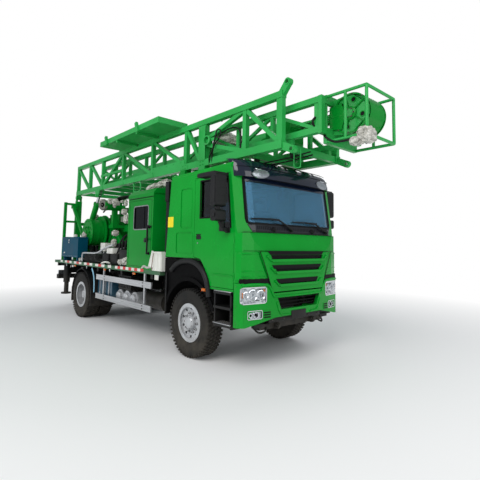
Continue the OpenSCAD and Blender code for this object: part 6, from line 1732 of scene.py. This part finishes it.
# %% Floor
FLOOR_HALF = 40.0
FADE_NEAR, FADE_FAR = 4.2, 10.5
floor_mesh = bpy.data.meshes.new("studio_floor")
bm = bmesh.new()
bmesh.ops.create_grid(bm, x_segments=1, y_segments=1, size=FLOOR_HALF)
bm.to_mesh(floor_mesh)
bm.free()
floor = bpy.data.objects.new("studio_floor", floor_mesh)
bpy.context.collection.objects.link(floor)
floor_paint = bpy.data.materials.new("studio_floor")
floor_paint.use_nodes = True
tree = floor_paint.node_tree
floor_shader = tree.nodes["Principled BSDF"]
floor_shader.inputs["Base Color"].default_value = (0.86, 0.86, 0.86, 1)
floor_shader.inputs["Roughness"].default_value = 0.9
glow = tree.nodes.new("ShaderNodeEmission")
glow.inputs["Color"].default_value = (1, 1, 1, 1)
place = tree.nodes.new("ShaderNodeTexCoord")
far_off = tree.nodes.new("ShaderNodeVectorMath")
far_off.operation = "LENGTH"
blend = tree.nodes.new("ShaderNodeMixShader")
tree.links.new(place.outputs["Object"], far_off.inputs[0])
tree.links.new(spread(tree, far_off.outputs["Value"], FADE_NEAR, FADE_FAR), blend.inputs["Fac"])
tree.links.new(floor_shader.outputs[0], blend.inputs[1])
tree.links.new(glow.outputs[0], blend.inputs[2])
tree.links.new(blend.outputs[0], tree.nodes["Material Output"].inputs["Surface"])
floor_mesh.materials.append(floor_paint)
print("floor fades out between", FADE_NEAR, "and", FADE_FAR, "m")

# %% World and lamps
world = bpy.data.worlds.new("studio_world")
bpy.context.scene.world = world
world.use_nodes = True
tree = world.node_tree
tree.nodes.clear()
rays = tree.nodes.new("ShaderNodeLightPath")
seen = tree.nodes.new("ShaderNodeMath")
seen.operation = "MAXIMUM"
soft = tree.nodes.new("ShaderNodeBackground")
soft.inputs["Color"].default_value = (0.90, 0.95, 1.0, 1)
soft.inputs["Strength"].default_value = 0.45
white = tree.nodes.new("ShaderNodeBackground")
white.inputs["Color"].default_value = (1, 1, 1, 1)
white.inputs["Strength"].default_value = 1.0
mix = tree.nodes.new("ShaderNodeMixShader")
out = tree.nodes.new("ShaderNodeOutputWorld")
tree.links.new(rays.outputs["Is Camera Ray"], seen.inputs[0])
tree.links.new(rays.outputs["Is Transmission Ray"], seen.inputs[1])
tree.links.new(seen.outputs[0], mix.inputs["Fac"])
tree.links.new(soft.outputs[0], mix.inputs[1])
tree.links.new(white.outputs[0], mix.inputs[2])
tree.links.new(mix.outputs[0], out.inputs["Surface"])


def lamp(name, place, size, power, colour=(1, 1, 1)):
    """A square softbox aimed at the middle of the rig."""
    light = bpy.data.lights.new(name, "AREA")
    light.size = size
    light.energy = power
    light.color = colour
    body = bpy.data.objects.new(name, light)
    aim = (Vector((0, 0, 1.6)) - Vector(place)).to_track_quat("-Z", "Y")
    body.matrix_world = Matrix.Translation(place) @ aim.to_matrix().to_4x4()
    bpy.context.collection.objects.link(body)


lamp("key", (6.5, -9.0, 9.5), 7.0, 760, (1.0, 0.98, 0.95))
lamp("fill", (-1.0, -12.0, 5.0), 7.0, 300, (0.95, 0.97, 1.0))
lamp("rear", (-3.0, 10.0, 8.0), 7.0, 330)
lamp("nose", (11.0, 1.0, 4.0), 5.0, 170)
bpy.context.scene.view_settings.view_transform = "Standard"
print(len(bpy.data.lights), "softboxes and a white sky")
